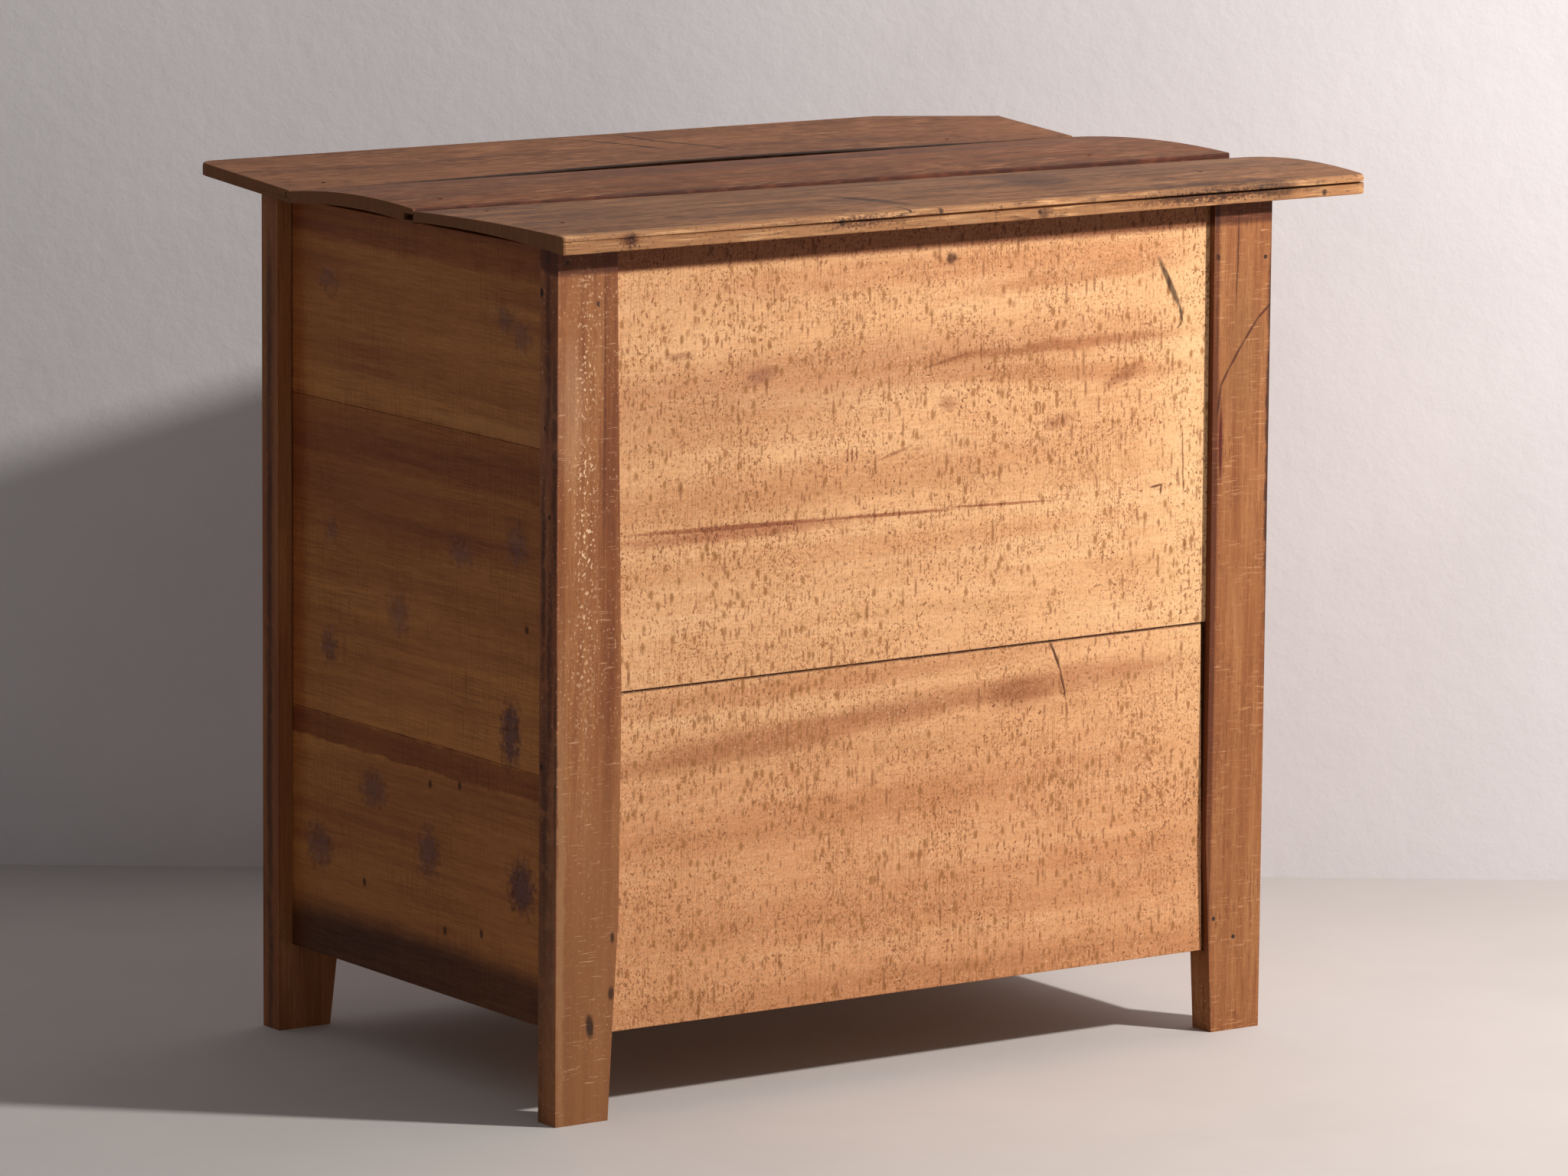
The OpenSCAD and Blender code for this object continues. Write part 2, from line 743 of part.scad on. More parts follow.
module frame_pegs() {
    color("#8a5a34")
    in_case() for (s = [-1, 1]) for (z = frame_peg_z)
        rod_y(s * frame_peg_x, z, peg_r, front_y, peg_end_y);
}

// Floor, shelf and cleats

floor_front_y = door_back_y + close_gap;
shelf_front_y = front_y + shelf_setback;
cleat_in_x = side_in_x - cleat_w;
floor_seams = [mix(floor_front_y, back_in_y, 0.3), mix(floor_front_y, back_in_y, 0.66)];
shelf_seam = mix(shelf_front_y, back_in_y, 0.46);

// One cleat along a side, its top at z
module cleat(z, h, y0, y1) {
    box([cleat_in_x, y0, z - h], [side_in_x - seat, y1, z]);
}

module top_cleat(s) {
    color("#b98450") in_case() on_side(s) difference() {
        cleat(side_top_z, cleat_h, -post_in_y + seat, post_in_y - seat);
        on_side(s) for (p = top_nails_at) if (p[0] * s > 0) top_nail(p, seat);
    }
}

module floor_cleat(s) {
    color("#b98450") in_case() on_side(s) difference() {
        cleat(floor_low_z, cleat_h, -post_in_y + seat, post_in_y - seat);
        for (n = s > 0 ? nails_right : nails_left) post_nail(n, seat);
    }
}

module shelf_cleat() {
    color("#b98450") cleat(shelf_z - shelf_t, shelf_cleat_h, shelf_front_y, post_in_y - seat);
}

// Notches for the front posts and for the back posts in the corners of a board
module front_notches() {
    in_case() for (s = [-1, 1]) on_side(s)
        box([open_x - notch_room, -half_d, 0], [half_w, -post_in_y + notch_room, case_h]);
}

module back_notches() {
    in_case() for (s = [-1, 1]) on_side(s)
        box([belly_in_x - notch_room, post_in_y - notch_room, 0], [half_w, half_d, case_h]);
}

// One board of the floor or the shelf, tongued into the board behind it
module flat_board(y0, y1, z, t, tongue, groove) {
    x = side_in_x - 2 * seat;
    tz = z - t / 2 - tongue_t / 2;
    color("#c08c54")
    in_case() difference() {
        union() {
            box([-x, y0, z - t], [x, y1 - (tongue ? fit : 0), z]);
            if (tongue) box([-x, y1 - cut, tz], [x, y1 + tongue_d, tz + tongue_t]);
        }
        if (groove)
            box([-x - cut, y0 - cut, tz - fit], [x + cut, y0 + tongue_d + fit, tz + tongue_t + fit]);
    }
}

// Doors

door_low_z = open_low_z + door_gap;
door_high_z = open_high_z - door_gap;
door_in_x = meeting_gap / 2;
// Depth of the panel behind the frame's back face, and wood beyond a door tenon
panel_back = 7;
tenon_blind = 14;
door_out_x = open_x - 2 * leaf_t - leaf_gap;
stile_in_x = door_in_x + stile_w;
stile_out_x = door_out_x - stile_w;
door_rail_low_z = door_low_z + door_rail_bottom_h;
door_rail_high_z = door_high_z - door_rail_top_h;
panel_y = front_y + rail_t - panel_back - panel_edge_t;
door_tenon_l = stile_w - tenon_blind;

// Tenon of a door rail, also used for its mortise
module door_tenon(x0, x1, z0, h, room) {
    box([x0, tenon_y - room, z0 + tenon_shoulder - room],
        [x1, tenon_y + tenon_t + room, z0 + h - tenon_shoulder + room]);
}

// Groove round the panel
module panel_cut() {
    box([stile_in_x - panel_groove, panel_y - fit / 2, door_rail_low_z - panel_groove],
        [stile_out_x + panel_groove, panel_y + panel_edge_t + fit / 2, door_rail_high_z + panel_groove]);
}

door_peg_low_z = door_low_z + door_rail_bottom_h / 2;
door_peg_high_z = door_high_z - door_rail_top_h / 2;
door_peg_r = peg_r * 0.75;

module door_peg_rods(room, x_low, x_high) {
    for (x = [stile_in_x - door_tenon_l / 2, stile_out_x + door_tenon_l / 2])
        for (z = [door_peg_low_z, door_peg_high_z])
            if (x > x_low && x < x_high)
                rod_y(x, z, door_peg_r + room, front_y - (room > 0 ? cut : 0),
                    door_back_y - peg_blind + room);
}

module door_mortises(x0, x1) {
    door_tenon(x0, x1, door_low_z, door_rail_bottom_h, seat);
    door_tenon(x0, x1, door_rail_high_z, door_rail_top_h, seat);
}

module door_lock_stile(locked) {
    color("#a86c3e")
    difference() {
        box([door_in_x, front_y, door_low_z], [stile_in_x - seat, door_back_y, door_high_z]);
        door_mortises(stile_in_x - door_tenon_l - mortise_room, stile_in_x + cut);
        panel_cut();
        door_peg_rods(seat, 0, stile_in_x);
        rod_y(knob_x, knob_z, spigot_r + seat, front_y - cut, door_back_y + cut);
        if (locked) keyhole(front_y - cut, door_back_y + cut);
        if (locked) lock_screw_rods(seat);
    }
}

module door_hinge_stile() {
    color("#a86c3e")
    difference() {
        box([stile_out_x + seat, front_y, door_low_z], [door_out_x, door_back_y, door_high_z]);
        door_mortises(stile_out_x - cut, stile_out_x + door_tenon_l + mortise_room);
        panel_cut();
        door_peg_rods(seat, stile_out_x, door_out_x);
        hinge_screw_holes(-1);
    }
}

module door_rail(z0, h) {
    color("#a86c3e")
    difference() {
        union() {
            box([stile_in_x, front_y, z0], [stile_out_x, door_back_y, z0 + h]);
            door_tenon(stile_in_x - door_tenon_l, stile_out_x + door_tenon_l, z0, h, 0);
        }
        panel_cut();
        door_peg_rods(seat, 0, door_out_x);
    }
}

// Panel with a bevelled field in front and a plain edge that runs in the grooves
module door_panel() {
    sight = panel_groove - panel_play;
    x0 = stile_in_x - sight;
    x1 = stile_out_x + sight;
    z0 = door_rail_low_z - sight;
    z1 = door_rail_high_z + sight;
    color("#bb7f48") {
        hull() {
            box([x0 + sight, panel_y, z0 + sight], [x1 - sight, panel_y + panel_edge_t, z1 - sight]);
            box([x0 + sight + panel_bevel, panel_y - panel_field, z0 + sight + panel_bevel],
                [x1 - sight - panel_bevel, panel_y, z1 - sight - panel_bevel]);
        }
        box([x0, panel_y, z0], [x1, panel_y + panel_edge_t, z1]);
    }
}

module door_pegs() {
    color("#8a5a34") door_peg_rods(0, 0, door_out_x);
}

// Turned knob with its spigot through the stile
knob_x = door_in_x + stile_w / 2;
knob_neck_r = 7;
knob_foot_r = 10;
knob_foot_h = 2.5;

module door_knob() {
    r = knob_d / 2;
    color("#7a4a2a")
    translate([knob_x, front_y, knob_z]) rotate([90, 0, 0])
    union() {
        rotate_extrude() difference() {
            union() {
                translate([0, knob_l - r * 0.62]) intersection() {
                    circle(r = r, $fn = 64);
                    translate([0, -r * 0.55]) square([r + 1, r * 1.17]);
                }
                square([knob_neck_r, knob_l - r * 0.7]);
                square([knob_foot_r, knob_foot_h]);
            }
            translate([-2 * r, -r]) square([2 * r, 4 * r]);
        }
        translate([0, 0, -rail_t]) cylinder(r = spigot_r, h = rail_t + 1);
    }
}

// Hinges

pin_x = open_x - leaf_t - leaf_gap / 2;
pin_y = front_y - barrel_r - close_gap;
hinge_z = [door_low_z + hinge_inset, door_high_z - hinge_inset - hinge_h];
knuckles = 5;
knuckle_h = hinge_h / knuckles;
knuckle_gap = 0.25;
// Reach of a pin past the knuckles at each end
pin_end = 0.5;
leaf_screw_z = [for (i = [0 : 2]) hinge_h * (0.17 + 0.33 * i)];
leaf_screw_y = front_y + leaf_w / 2;

// Knuckles number first, first + 2, ... of one hinge, with the tabs that join them to the leaf
module knuckle_row(first, x0, x1) {
    for (i = [first : 2 : knuckles - 1]) {
        z0 = i * knuckle_h + (i == 0 ? 0 : knuckle_gap / 2);
        z1 = (i + 1) * knuckle_h - (i == knuckles - 1 ? 0 : knuckle_gap / 2);
        translate([pin_x, pin_y, z0]) cylinder(r = barrel_r, h = z1 - z0);
        box([x0, pin_y, z0], [x1, front_y + cut, z1]);
    }
}

// Screw in a leaf: its head is flush with the leaf's face and it points along dir
module leaf_screw(dir, z, room) {
    face_x = pin_x + dir * leaf_gap / 2;
    translate([face_x, leaf_screw_y, z]) rotate([0, dir * 90, 0]) {
        cylinder(r1 = screw_head_r + room, r2 = screw_r + room, h = leaf_t);
        cylinder(r = screw_r + room, h = screw_l + room);
    }
}

module hinge_leaf(first, dir) {
    face_x = pin_x + dir * leaf_gap / 2;
    x0 = min(face_x, face_x + dir * leaf_t);
    x1 = x0 + leaf_t;
    for (z = hinge_z) translate([0, 0, z]) difference() {
        union() {
            box([x0, front_y, 0], [x1, front_y + leaf_w, hinge_h]);
            knuckle_row(first, x0, x1);
        }
        translate([pin_x, pin_y, -cut]) cylinder(r = pin_r + pin_play, h = hinge_h + 2 * cut);
        for (sz = leaf_screw_z) leaf_screw(dir, sz, seat);
    }
}

module hinge_frame_leaves() {
    color("#5a5048") hinge_leaf(0, 1);
}

module hinge_door_leaves() {
    color("#5a5048") hinge_leaf(1, -1);
}

module hinge_pins() {
    color("#77706a")
    in_case() for (s = [-1, 1]) on_side(s) for (z = hinge_z)
        translate([pin_x, pin_y, z - pin_end]) cylinder(r = pin_r, h = hinge_h + 2 * pin_end);
}

module leaf_screws(dir) {
    for (z = hinge_z) for (sz = leaf_screw_z) leaf_screw(dir, z + sz, 0);
}

module hinge_screw_holes(dir) {
    for (z = hinge_z) for (sz = leaf_screw_z) leaf_screw(dir, z + sz, seat);
}

module hinge_frame_screws() {
    color("#77706a") in_case() for (s = [-1, 1]) on_side(s) leaf_screws(1);
}

module hinge_door_screws() {
    color("#77706a") leaf_screws(-1);
}

// Lock

key_x = door_in_x + stile_w / 2;
lock_x0 = door_in_x + 2;
lock_x1 = lock_x0 + lock_w;
lock_z0 = key_z - lock_h / 2;
lock_z1 = key_z + lock_h / 2;
bolt_y0 = door_back_y + 0.5;
// Reach of the key's bit into the bolt, and the talon cut in the bolt for it
bit_bite = 2;
talon_d = 3.5;
talon_play = 0.8;
bolt_tail = 6;
bolt_low_z = key_z + bit_l - bit_bite;
talon_half = bit_l * sin(acos((bit_l - bit_bite) / bit_l)) + bit_t / 2;
talon_x = key_x + bolt_travel * 180 / key_turn;
// Room round the key in its keyhole and round the bolt in its case
keyhole_play = 0.6;
lock_play = 0.3;
// Screws of the lock: place from the case's edge, reach into the wood
lock_screw_in = 8;
lock_screw_l = 11;

// Keyhole: a round hole with a slot below it for the bit
module keyhole(y0, y1) {
    rod_y(key_x, key_z, key_r + keyhole_play, y0, y1);
    box([key_x - bit_t / 2 - keyhole_play, y0, key_z - bit_l - keyhole_play],
        [key_x + bit_t / 2 + keyhole_play, y1, key_z]);
}

module lock_screw_rods(room) {
    for (z = [lock_z0 - lock_flange / 2, lock_z1 + lock_flange / 2])
        for (x = [lock_x0 + lock_screw_in, lock_x1 - lock_screw_in])
            rod_y(x, z, screw_r + room, door_back_y - lock_screw_l - room, door_back_y + lock_wall);
}

// Case of the rim lock, open towards the stile, with its screws
module lock_case() {
    color("#4a423c")
    in_case() {
        difference() {
            union() {
                box([lock_x0, door_back_y, lock_z0], [lock_x1, door_back_y + lock_d, lock_z1]);
                box([lock_x0, door_back_y, lock_z0 - lock_flange],
                    [lock_x1, door_back_y + lock_wall, lock_z1 + lock_flange]);
            }
            box([lock_x0 + lock_wall, door_back_y - cut, lock_z0 + lock_wall],
                [lock_x1 - lock_wall, door_back_y + lock_d - lock_wall, lock_z1 - lock_wall]);
            box([lock_x0 - cut, bolt_y0 - lock_play, bolt_low_z - lock_play],
                [lock_x0 + lock_wall + cut, bolt_y0 + bolt_t + lock_play,
                 bolt_low_z + bolt_h + lock_play]);
            rod_y(key_x, key_z, key_r + lock_play, door_back_y + lock_d - lock_wall - cut,
                door_back_y + lock_d + cut);
        }
        lock_screw_rods(0);
    }
}

// Sliding bolt, with the talon that the key's bit pushes
module lock_bolt() {
    color("#8b7a5a")
    in_case() difference() {
        box([lock_x0 + lock_play, bolt_y0, bolt_low_z],
            [talon_x + talon_half + bolt_tail, bolt_y0 + bolt_t, bolt_low_z + bolt_h]);
        box([talon_x - talon_half - talon_play, bolt_y0 - cut, bolt_low_z - cut],
            [talon_x + talon_half + talon_play, bolt_y0 + bolt_t + cut, bolt_low_z + talon_d]);
    }
}

// Key: its bow is a flat ring, and a collar on the stem stops at the keyhole plate
bow_r = 11;
bow_hole_r = 7;
bow_t = 4;
collar_r = key_r + 1.4;
collar_gap = 5;
collar_l = 3;

module lock_key() {
    end_y = door_back_y + lock_d;
    bow_y = front_y - key_out + bow_r;
    collar_y = front_y - collar_gap;
    color("#6d6259")
    in_case() difference() {
        union() {
            rod_y(key_x, key_z, key_r, bow_y + bow_hole_r, end_y);
            rod_y(key_x, key_z, collar_r, collar_y - collar_l, collar_y);
            box([key_x - bit_t / 2, bolt_y0 + 0.6, key_z - bit_l],
                [key_x + bit_t / 2, bolt_y0 + bolt_t, key_z]);
            translate([key_x - bow_t / 2, bow_y, key_z]) rotate([0, 90, 0]) cylinder(r = bow_r, h = bow_t);
        }
        translate([key_x - bow_t, bow_y, key_z]) rotate([0, 90, 0])
            cylinder(r = bow_hole_r, h = 2 * bow_t);
    }
}

// Keyhole plate with rounded ends
module lock_escutcheon() {
    color("#8b7340")
    in_case() difference() {
        translate([key_x, front_y, key_z - bit_l / 2]) rotate([90, 0, 0]) linear_extrude(plate_t)
            union() {
                square([plate_w, plate_h - plate_w], center = true);
                for (s = [-1, 1]) translate([0, s * (plate_h - plate_w) / 2]) circle(r = plate_w / 2);
            }
        keyhole(front_y - plate_t - cut, front_y + cut);
    }
}

// Shoot bolt on the inside of the left door

shoot_x = door_in_x + stile_w / 2;
// Drop of the plate below the door's top edge
plate_drop = 8;
shoot_plate_z1 = door_high_z - plate_drop;
shoot_plate_z0 = shoot_plate_z1 - shoot_plate_l;
shoot_bar_y0 = door_back_y + shoot_plate_t + shoot_play / 2;
shoot_bar_z1 = door_high_z - 1;
// Guides of the bar: height, wall, place from the plate's ends
guide_h = 14;
guide_wall = 2.5;
guide_in = 4;
// Finger knob on the bar and its neck
shoot_knob_r = 5;
shoot_neck_l = 9;

module shoot_guide(z) {
    half = shoot_w / 2 + shoot_play;
    difference() {
        box([shoot_x - half - guide_wall, door_back_y + shoot_plate_t - 0.01, z],
            [shoot_x + half + guide_wall, shoot_bar_y0 + shoot_t + shoot_play + guide_wall, z + guide_h]);
        box([shoot_x - half, door_back_y + shoot_plate_t - 0.02, z - cut],
            [shoot_x + half, shoot_bar_y0 + shoot_t + shoot_play, z + guide_h + cut]);
    }
}

module shoot_bolt_plate() {
    color("#4a423c")
    in_case() on_side(-1) {
        box([shoot_x - shoot_plate_w / 2, door_back_y, shoot_plate_z0],
            [shoot_x + shoot_plate_w / 2, door_back_y + shoot_plate_t, shoot_plate_z1]);
        shoot_guide(shoot_plate_z1 - guide_h - guide_in);
        shoot_guide(shoot_plate_z0 + guide_in);
    }
}

module shoot_bolt() {
    knob_z0 = (shoot_plate_z0 + shoot_plate_z1 - shoot_travel) / 2;
    face_y = shoot_bar_y0 + shoot_t;
    color("#6d6259")
    in_case() on_side(-1) {
        box([shoot_x - shoot_w / 2, shoot_bar_y0, shoot_bar_z1 - shoot_l],
            [shoot_x + shoot_w / 2, shoot_bar_y0 + shoot_t, shoot_bar_z1]);
        rod_y(shoot_x, knob_z0, shoot_knob_r * 0.6, face_y - cut, face_y + shoot_neck_l);
        translate([shoot_x, face_y + shoot_neck_l, knob_z0]) sphere(r = shoot_knob_r);
    }
}

module door_piece(s) {
    in_case() on_side(s) children();
}

in_case() on_side(-1) post_front();  // post_front_left
in_case() post_front();  // post_front_right
in_case() on_side(-1) post_back(back_outline(post_left_top_w, post_left_belly_w), nails_left);  // post_back_left
in_case() post_back(back_outline(post_right_top_w, post_right_belly_w), nails_right);  // post_back_right
in_case() on_side(-1) side_lower();  // side_left_lower
in_case() on_side(-1) side_middle();  // side_left_middle
in_case() on_side(-1) side_upper();  // side_left_upper
in_case() side_lower();  // side_right_lower
in_case() side_middle();  // side_right_middle
in_case() side_upper();  // side_right_upper
back_board_lower();
back_board_upper();
top_board_front();
top_board_middle();
top_board_back();
top_nails();
front_rail(open_high_z, rail_top_h);  // front_rail_top
front_rail(rail_low_z, rail_bottom_h);  // front_rail_bottom
frame_pegs();
post_nails();
top_cleat(-1);  // top_cleat_left
top_cleat(1);  // top_cleat_right
floor_cleat(-1);  // floor_cleat_left
floor_cleat(1);  // floor_cleat_right
in_case() on_side(-1) shelf_cleat();  // shelf_cleat_left
in_case() shelf_cleat();  // shelf_cleat_right
difference() {  // floor_board_front
    flat_board(floor_front_y, floor_seams[0], floor_top_z, floor_t, true, false);
    front_notches();
}
flat_board(floor_seams[0], floor_seams[1], floor_top_z, floor_t, true, true);  // floor_board_middle
difference() {  // floor_board_back
    flat_board(floor_seams[1], back_in_y - seat, floor_top_z, floor_t, false, true);
    back_notches();
}
flat_board(shelf_front_y, shelf_seam, shelf_z, shelf_t, true, false);  // shelf_board_front
difference() {  // shelf_board_back
    flat_board(shelf_seam, back_in_y - seat, shelf_z, shelf_t, false, true);
    back_notches();
}
door_piece(-1) door_hinge_stile();  // door_left_hinge_stile
door_piece(-1) door_lock_stile(false);  // door_left_lock_stile
door_piece(-1) door_rail(door_rail_high_z, door_rail_top_h);  // door_left_top_rail
door_piece(-1) door_rail(door_low_z, door_rail_bottom_h);  // door_left_bottom_rail
door_piece(-1) door_panel();  // door_left_panel
door_piece(-1) door_pegs();  // door_left_pegs
door_piece(-1) door_knob();  // door_left_knob
door_piece(1) door_hinge_stile();  // door_right_hinge_stile
door_piece(1) door_lock_stile(true);  // door_right_lock_stile
door_piece(1) door_rail(door_rail_high_z, door_rail_top_h);  // door_right_top_rail
door_piece(1) door_rail(door_low_z, door_rail_bottom_h);  // door_right_bottom_rail
door_piece(1) door_panel();  // door_right_panel
door_piece(1) door_pegs();  // door_right_pegs
door_piece(1) door_knob();  // door_right_knob
door_piece(-1) hinge_frame_leaves();  // hinge_frame_leaves_left
door_piece(1) hinge_frame_leaves();  // hinge_frame_leaves_right
door_piece(-1) hinge_door_leaves();  // hinge_door_leaves_left
door_piece(1) hinge_door_leaves();  // hinge_door_leaves_right
hinge_pins();
hinge_frame_screws();
door_piece(-1) hinge_door_screws();  // hinge_door_screws_left
door_piece(1) hinge_door_screws();  // hinge_door_screws_right
lock_case();
lock_bolt();
lock_key();
lock_escutcheon();
shoot_bolt_plate();
shoot_bolt();
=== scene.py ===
# %% [markdown]
# A low cabinet of old beech, seen from behind. The joinery comes ready from the CAD model as a
# fixed frame: every board, peg, nail, hinge and lock piece is already at its real size and place.
# What is made here is what the eye reads: the wood's figure, its saw marks, stains and worn
# arrises, the dulled iron and brass, and the light of a plain studio.

# %% Load the frame
import math
import bpy
from mathutils import Matrix, Vector

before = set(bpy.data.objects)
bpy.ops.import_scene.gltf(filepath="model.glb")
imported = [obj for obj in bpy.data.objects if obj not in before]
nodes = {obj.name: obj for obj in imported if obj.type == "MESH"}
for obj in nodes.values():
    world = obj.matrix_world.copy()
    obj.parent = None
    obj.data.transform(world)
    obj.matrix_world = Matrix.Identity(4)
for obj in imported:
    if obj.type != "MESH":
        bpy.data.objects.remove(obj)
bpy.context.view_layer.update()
print(len(nodes), "pieces in the frame")

# %% [markdown]
# Everything below is measured in millimetres from the middle of the case on the floor: x to the
# right as seen from the doors, y towards the back, z up. The frame itself is centred on the whole
# top, which reaches further on one side, so the case stands off the frame's origin by CASE.

# %% Units and colours
MM = 0.001
CASE = Vector((46.5, 39.25, 0))
# Reach of a mark that covers a whole board, and of one that goes through its thickness
ALL = 3000
THROUGH = 60
# The dark of a nail's hole, of rust, and of the painted shadow under the top's reach
NAIL_HOLE = "#3a2416"
RUST = "#3a2418"
PAINTED_SHADOW_UNDER_TOP = "#8e6a5a"


def linear(hex_colour):
    """Turns an sRGB hex colour into the linear colour that the shaders use."""
    parts = [int(hex_colour[i:i + 2], 16) / 255 for i in (1, 3, 5)]
    return [p / 12.92 if p <= 0.04045 else ((p + 0.055) / 1.055) ** 2.4 for p in parts] + [1]


def place(x, y, z):
    """A point of the scene, in metres, from millimetres measured on the case."""
    return (Vector((x, y, z)) + CASE) * MM


print("back right foot stands at", place(374.5, 242.5, 0))

# %% [markdown]
# A material is a small network of nodes. One helper adds a node, sets its own settings, then
# fills its inputs with numbers, colours or the outputs of earlier nodes. Keys that are numbers
# count the inputs from 0, which math nodes need because their inputs share one name.

# %% A helper that adds a node
def add(tree, kind, inputs=None, **settings):
    """Adds a node with its settings and links, and returns its outputs."""
    node = tree.nodes.new("ShaderNode" + kind)
    for name, value in settings.items():
        setattr(node, name, value)
    for key, value in (inputs or {}).items():
        if isinstance(value, bpy.types.NodeSocket):
            tree.links.new(value, node.inputs[key])
        else:
            node.inputs[key].default_value = value
    return node.outputs


# %% [markdown]
# The camera stands far off with a long lens, so upright edges stay nearly upright. Its place and
# angles were found by fitting the measured edges of the case.

# %% Camera
LENS = 191.46
EYE = place(4431.5, 6462.8, 1727.6)
YAW, PITCH, ROLL = math.radians(214.57), math.radians(-9.43), math.radians(0.46)

ahead = Vector((math.sin(YAW) * math.cos(PITCH), math.cos(YAW) * math.cos(PITCH), math.sin(PITCH)))
level = Vector((math.cos(YAW), -math.sin(YAW), 0))
upright = level.cross(ahead)
right = level * math.cos(ROLL) + upright * math.sin(ROLL)
up = upright * math.cos(ROLL) - level * math.sin(ROLL)

camera_data = bpy.data.cameras.new("camera")
camera_data.lens = LENS
camera_data.sensor_width = 36
camera_data.clip_end = 60
camera = bpy.data.objects.new("camera", camera_data)
turn = Matrix((right, up, -ahead)).transposed().to_4x4()
camera.matrix_world = Matrix.Translation(EYE) @ turn
bpy.context.scene.collection.objects.link(camera)
bpy.context.scene.camera = camera
print("camera at", EYE, "looks along", ahead)

# %% [markdown]
# The key light is one softbox, 35 degrees up and to the photograph's right, so that the top's
# reach throws a band of shadow on the back boards. Its size sets how soft that shadow's edge is: a
# lamp 0.2 m wide at 3 m blurs it by a few millimetres. The world fills the shaded side evenly.

# %% Light
view = bpy.context.scene.view_settings
view.view_transform = "Standard"

KEY_WAY = Vector((-0.504, 0.646, 0.573))
KEY_FAR = 3.0
KEY_WIDE = 0.2
KEY_WATTS = 102
target = place(0, 100, 420)

key_data = bpy.data.lights.new("key_softbox", "AREA")
key_data.shape = "DISK"
key_data.size = KEY_WIDE
key_data.energy = KEY_WATTS
key_data.color = linear("#fffaf4")[:3]
key = bpy.data.objects.new("key_softbox", key_data)
facing = KEY_WAY.to_track_quat("Z", "Y").to_matrix().to_4x4()
key.matrix_world = Matrix.Translation(target + KEY_WAY * KEY_FAR) @ facing
bpy.context.scene.collection.objects.link(key)

world = bpy.data.worlds.new("studio")
world.use_nodes = True
bpy.context.scene.world = world
FILL = 0.235
world.node_tree.nodes["Background"].inputs["Color"].default_value = linear("#f4f1ef")
world.node_tree.nodes["Background"].inputs["Strength"].default_value = FILL
print("key light", KEY_FAR, "m away,", KEY_WATTS, "W")

# %% [markdown]
# The floor is painted screed and the wall behind is rough limewash, both pale. They are the
# stage and not part of the cabinet. The wall stands far enough off for the left door to swing
# clear of it. It is see-through from its back, so that a camera on the doors' side looks past it.

# %% Floor and wall
WALL_WAY = Vector((0.5758, 0.8176, 0))
WALL_OFF = -745
WALL_HIGH = 5000
SPAN = 9000


def stage_material(name, colour, bump, grain_mm):
    """Matt paint with the slow unevenness of a trowel."""
    material = bpy.data.materials.new(name)
    material.use_nodes = True
    tree = material.node_tree
    point = add(tree, "TexCoord")["Object"]
    wide = add(tree, "TexNoise", {"Vector": point, "Scale": 1.7, "Detail": 6, "Roughness": 0.6})
    fine = add(tree, "TexNoise", {"Vector": point, "Scale": 1 / (grain_mm * MM), "Detail": 5,
                                  "Roughness": 0.65})
    tint = add(tree, "MapRange", {0: wide[0], 1: 0.3, 2: 0.7, 3: 0.93, 4: 1.05})
    mixed = add(tree, "VectorMath", {0: linear(colour)[:3], "Scale": tint[0]}, operation="SCALE")
    relief = add(tree, "Bump", {"Height": fine[0], "Strength": bump, "Distance": 2 * MM})
    shader = tree.nodes["Principled BSDF"]
    tree.links.new(mixed[0], shader.inputs["Base Color"])
    tree.links.new(relief[0], shader.inputs["Normal"])
    shader.inputs["Roughness"].default_value = 0.8
    shader.inputs["Specular IOR Level"].default_value = 0.25
    return material


def sheet(name, corners, material):
    """A flat four-cornered face for the stage."""
    mesh = bpy.data.meshes.new(name)
    mesh.from_pydata([place(*c) for c in corners], [], [(0, 1, 2, 3)])
    mesh.materials.append(material)
    piece = bpy.data.objects.new(name, mesh)
    bpy.context.scene.collection.objects.link(piece)
    return piece


floor_paint = stage_material("painted_screed_floor", "#c8c3c1", 0.12, 25)
wall_paint = stage_material("limewashed_wall", "#e1dfe3", 0.5, 30)

tree = wall_paint.node_tree
behind = add(tree, "NewGeometry")["Backfacing"]
clear = add(tree, "BsdfTransparent")
both = add(tree, "MixShader", {0: behind, 1: tree.nodes["Principled BSDF"].outputs[0], 2: clear[0]})
tree.links.new(both[0], tree.nodes["Material Output"].inputs["Surface"])

foot = WALL_WAY * WALL_OFF
side = Vector((WALL_WAY.y, -WALL_WAY.x, 0)) * SPAN
head = foot + Vector((0, 0, WALL_HIGH))
sheet("floor", [(-SPAN, -SPAN, 0), (SPAN, -SPAN, 0), (SPAN, SPAN, 0), (-SPAN, SPAN, 0)], floor_paint)
sheet("wall", [foot + side, foot - side, head - side, head + side], wall_paint)
print("wall stands", -WALL_OFF, "mm behind the middle of the case")

# %% [markdown]
# Beech, sawn and left bare, darkens to orange brown. Its figure is built in layers, each at its
# real size: broad bands of heartwood, fine growth rings along the grain, and pores. The pattern
# is laid out in a frame of its own with "along" running with the grain, so one recipe serves
# boards that stand, lie or run across. An image would be quicker but would repeat, and could
# not follow the boards round their edges.

# %% Start of a beech material
# How many times as long as wide the bands and the rings are drawn
BAND_LENGTH = 14
RING_LENGTH = 45


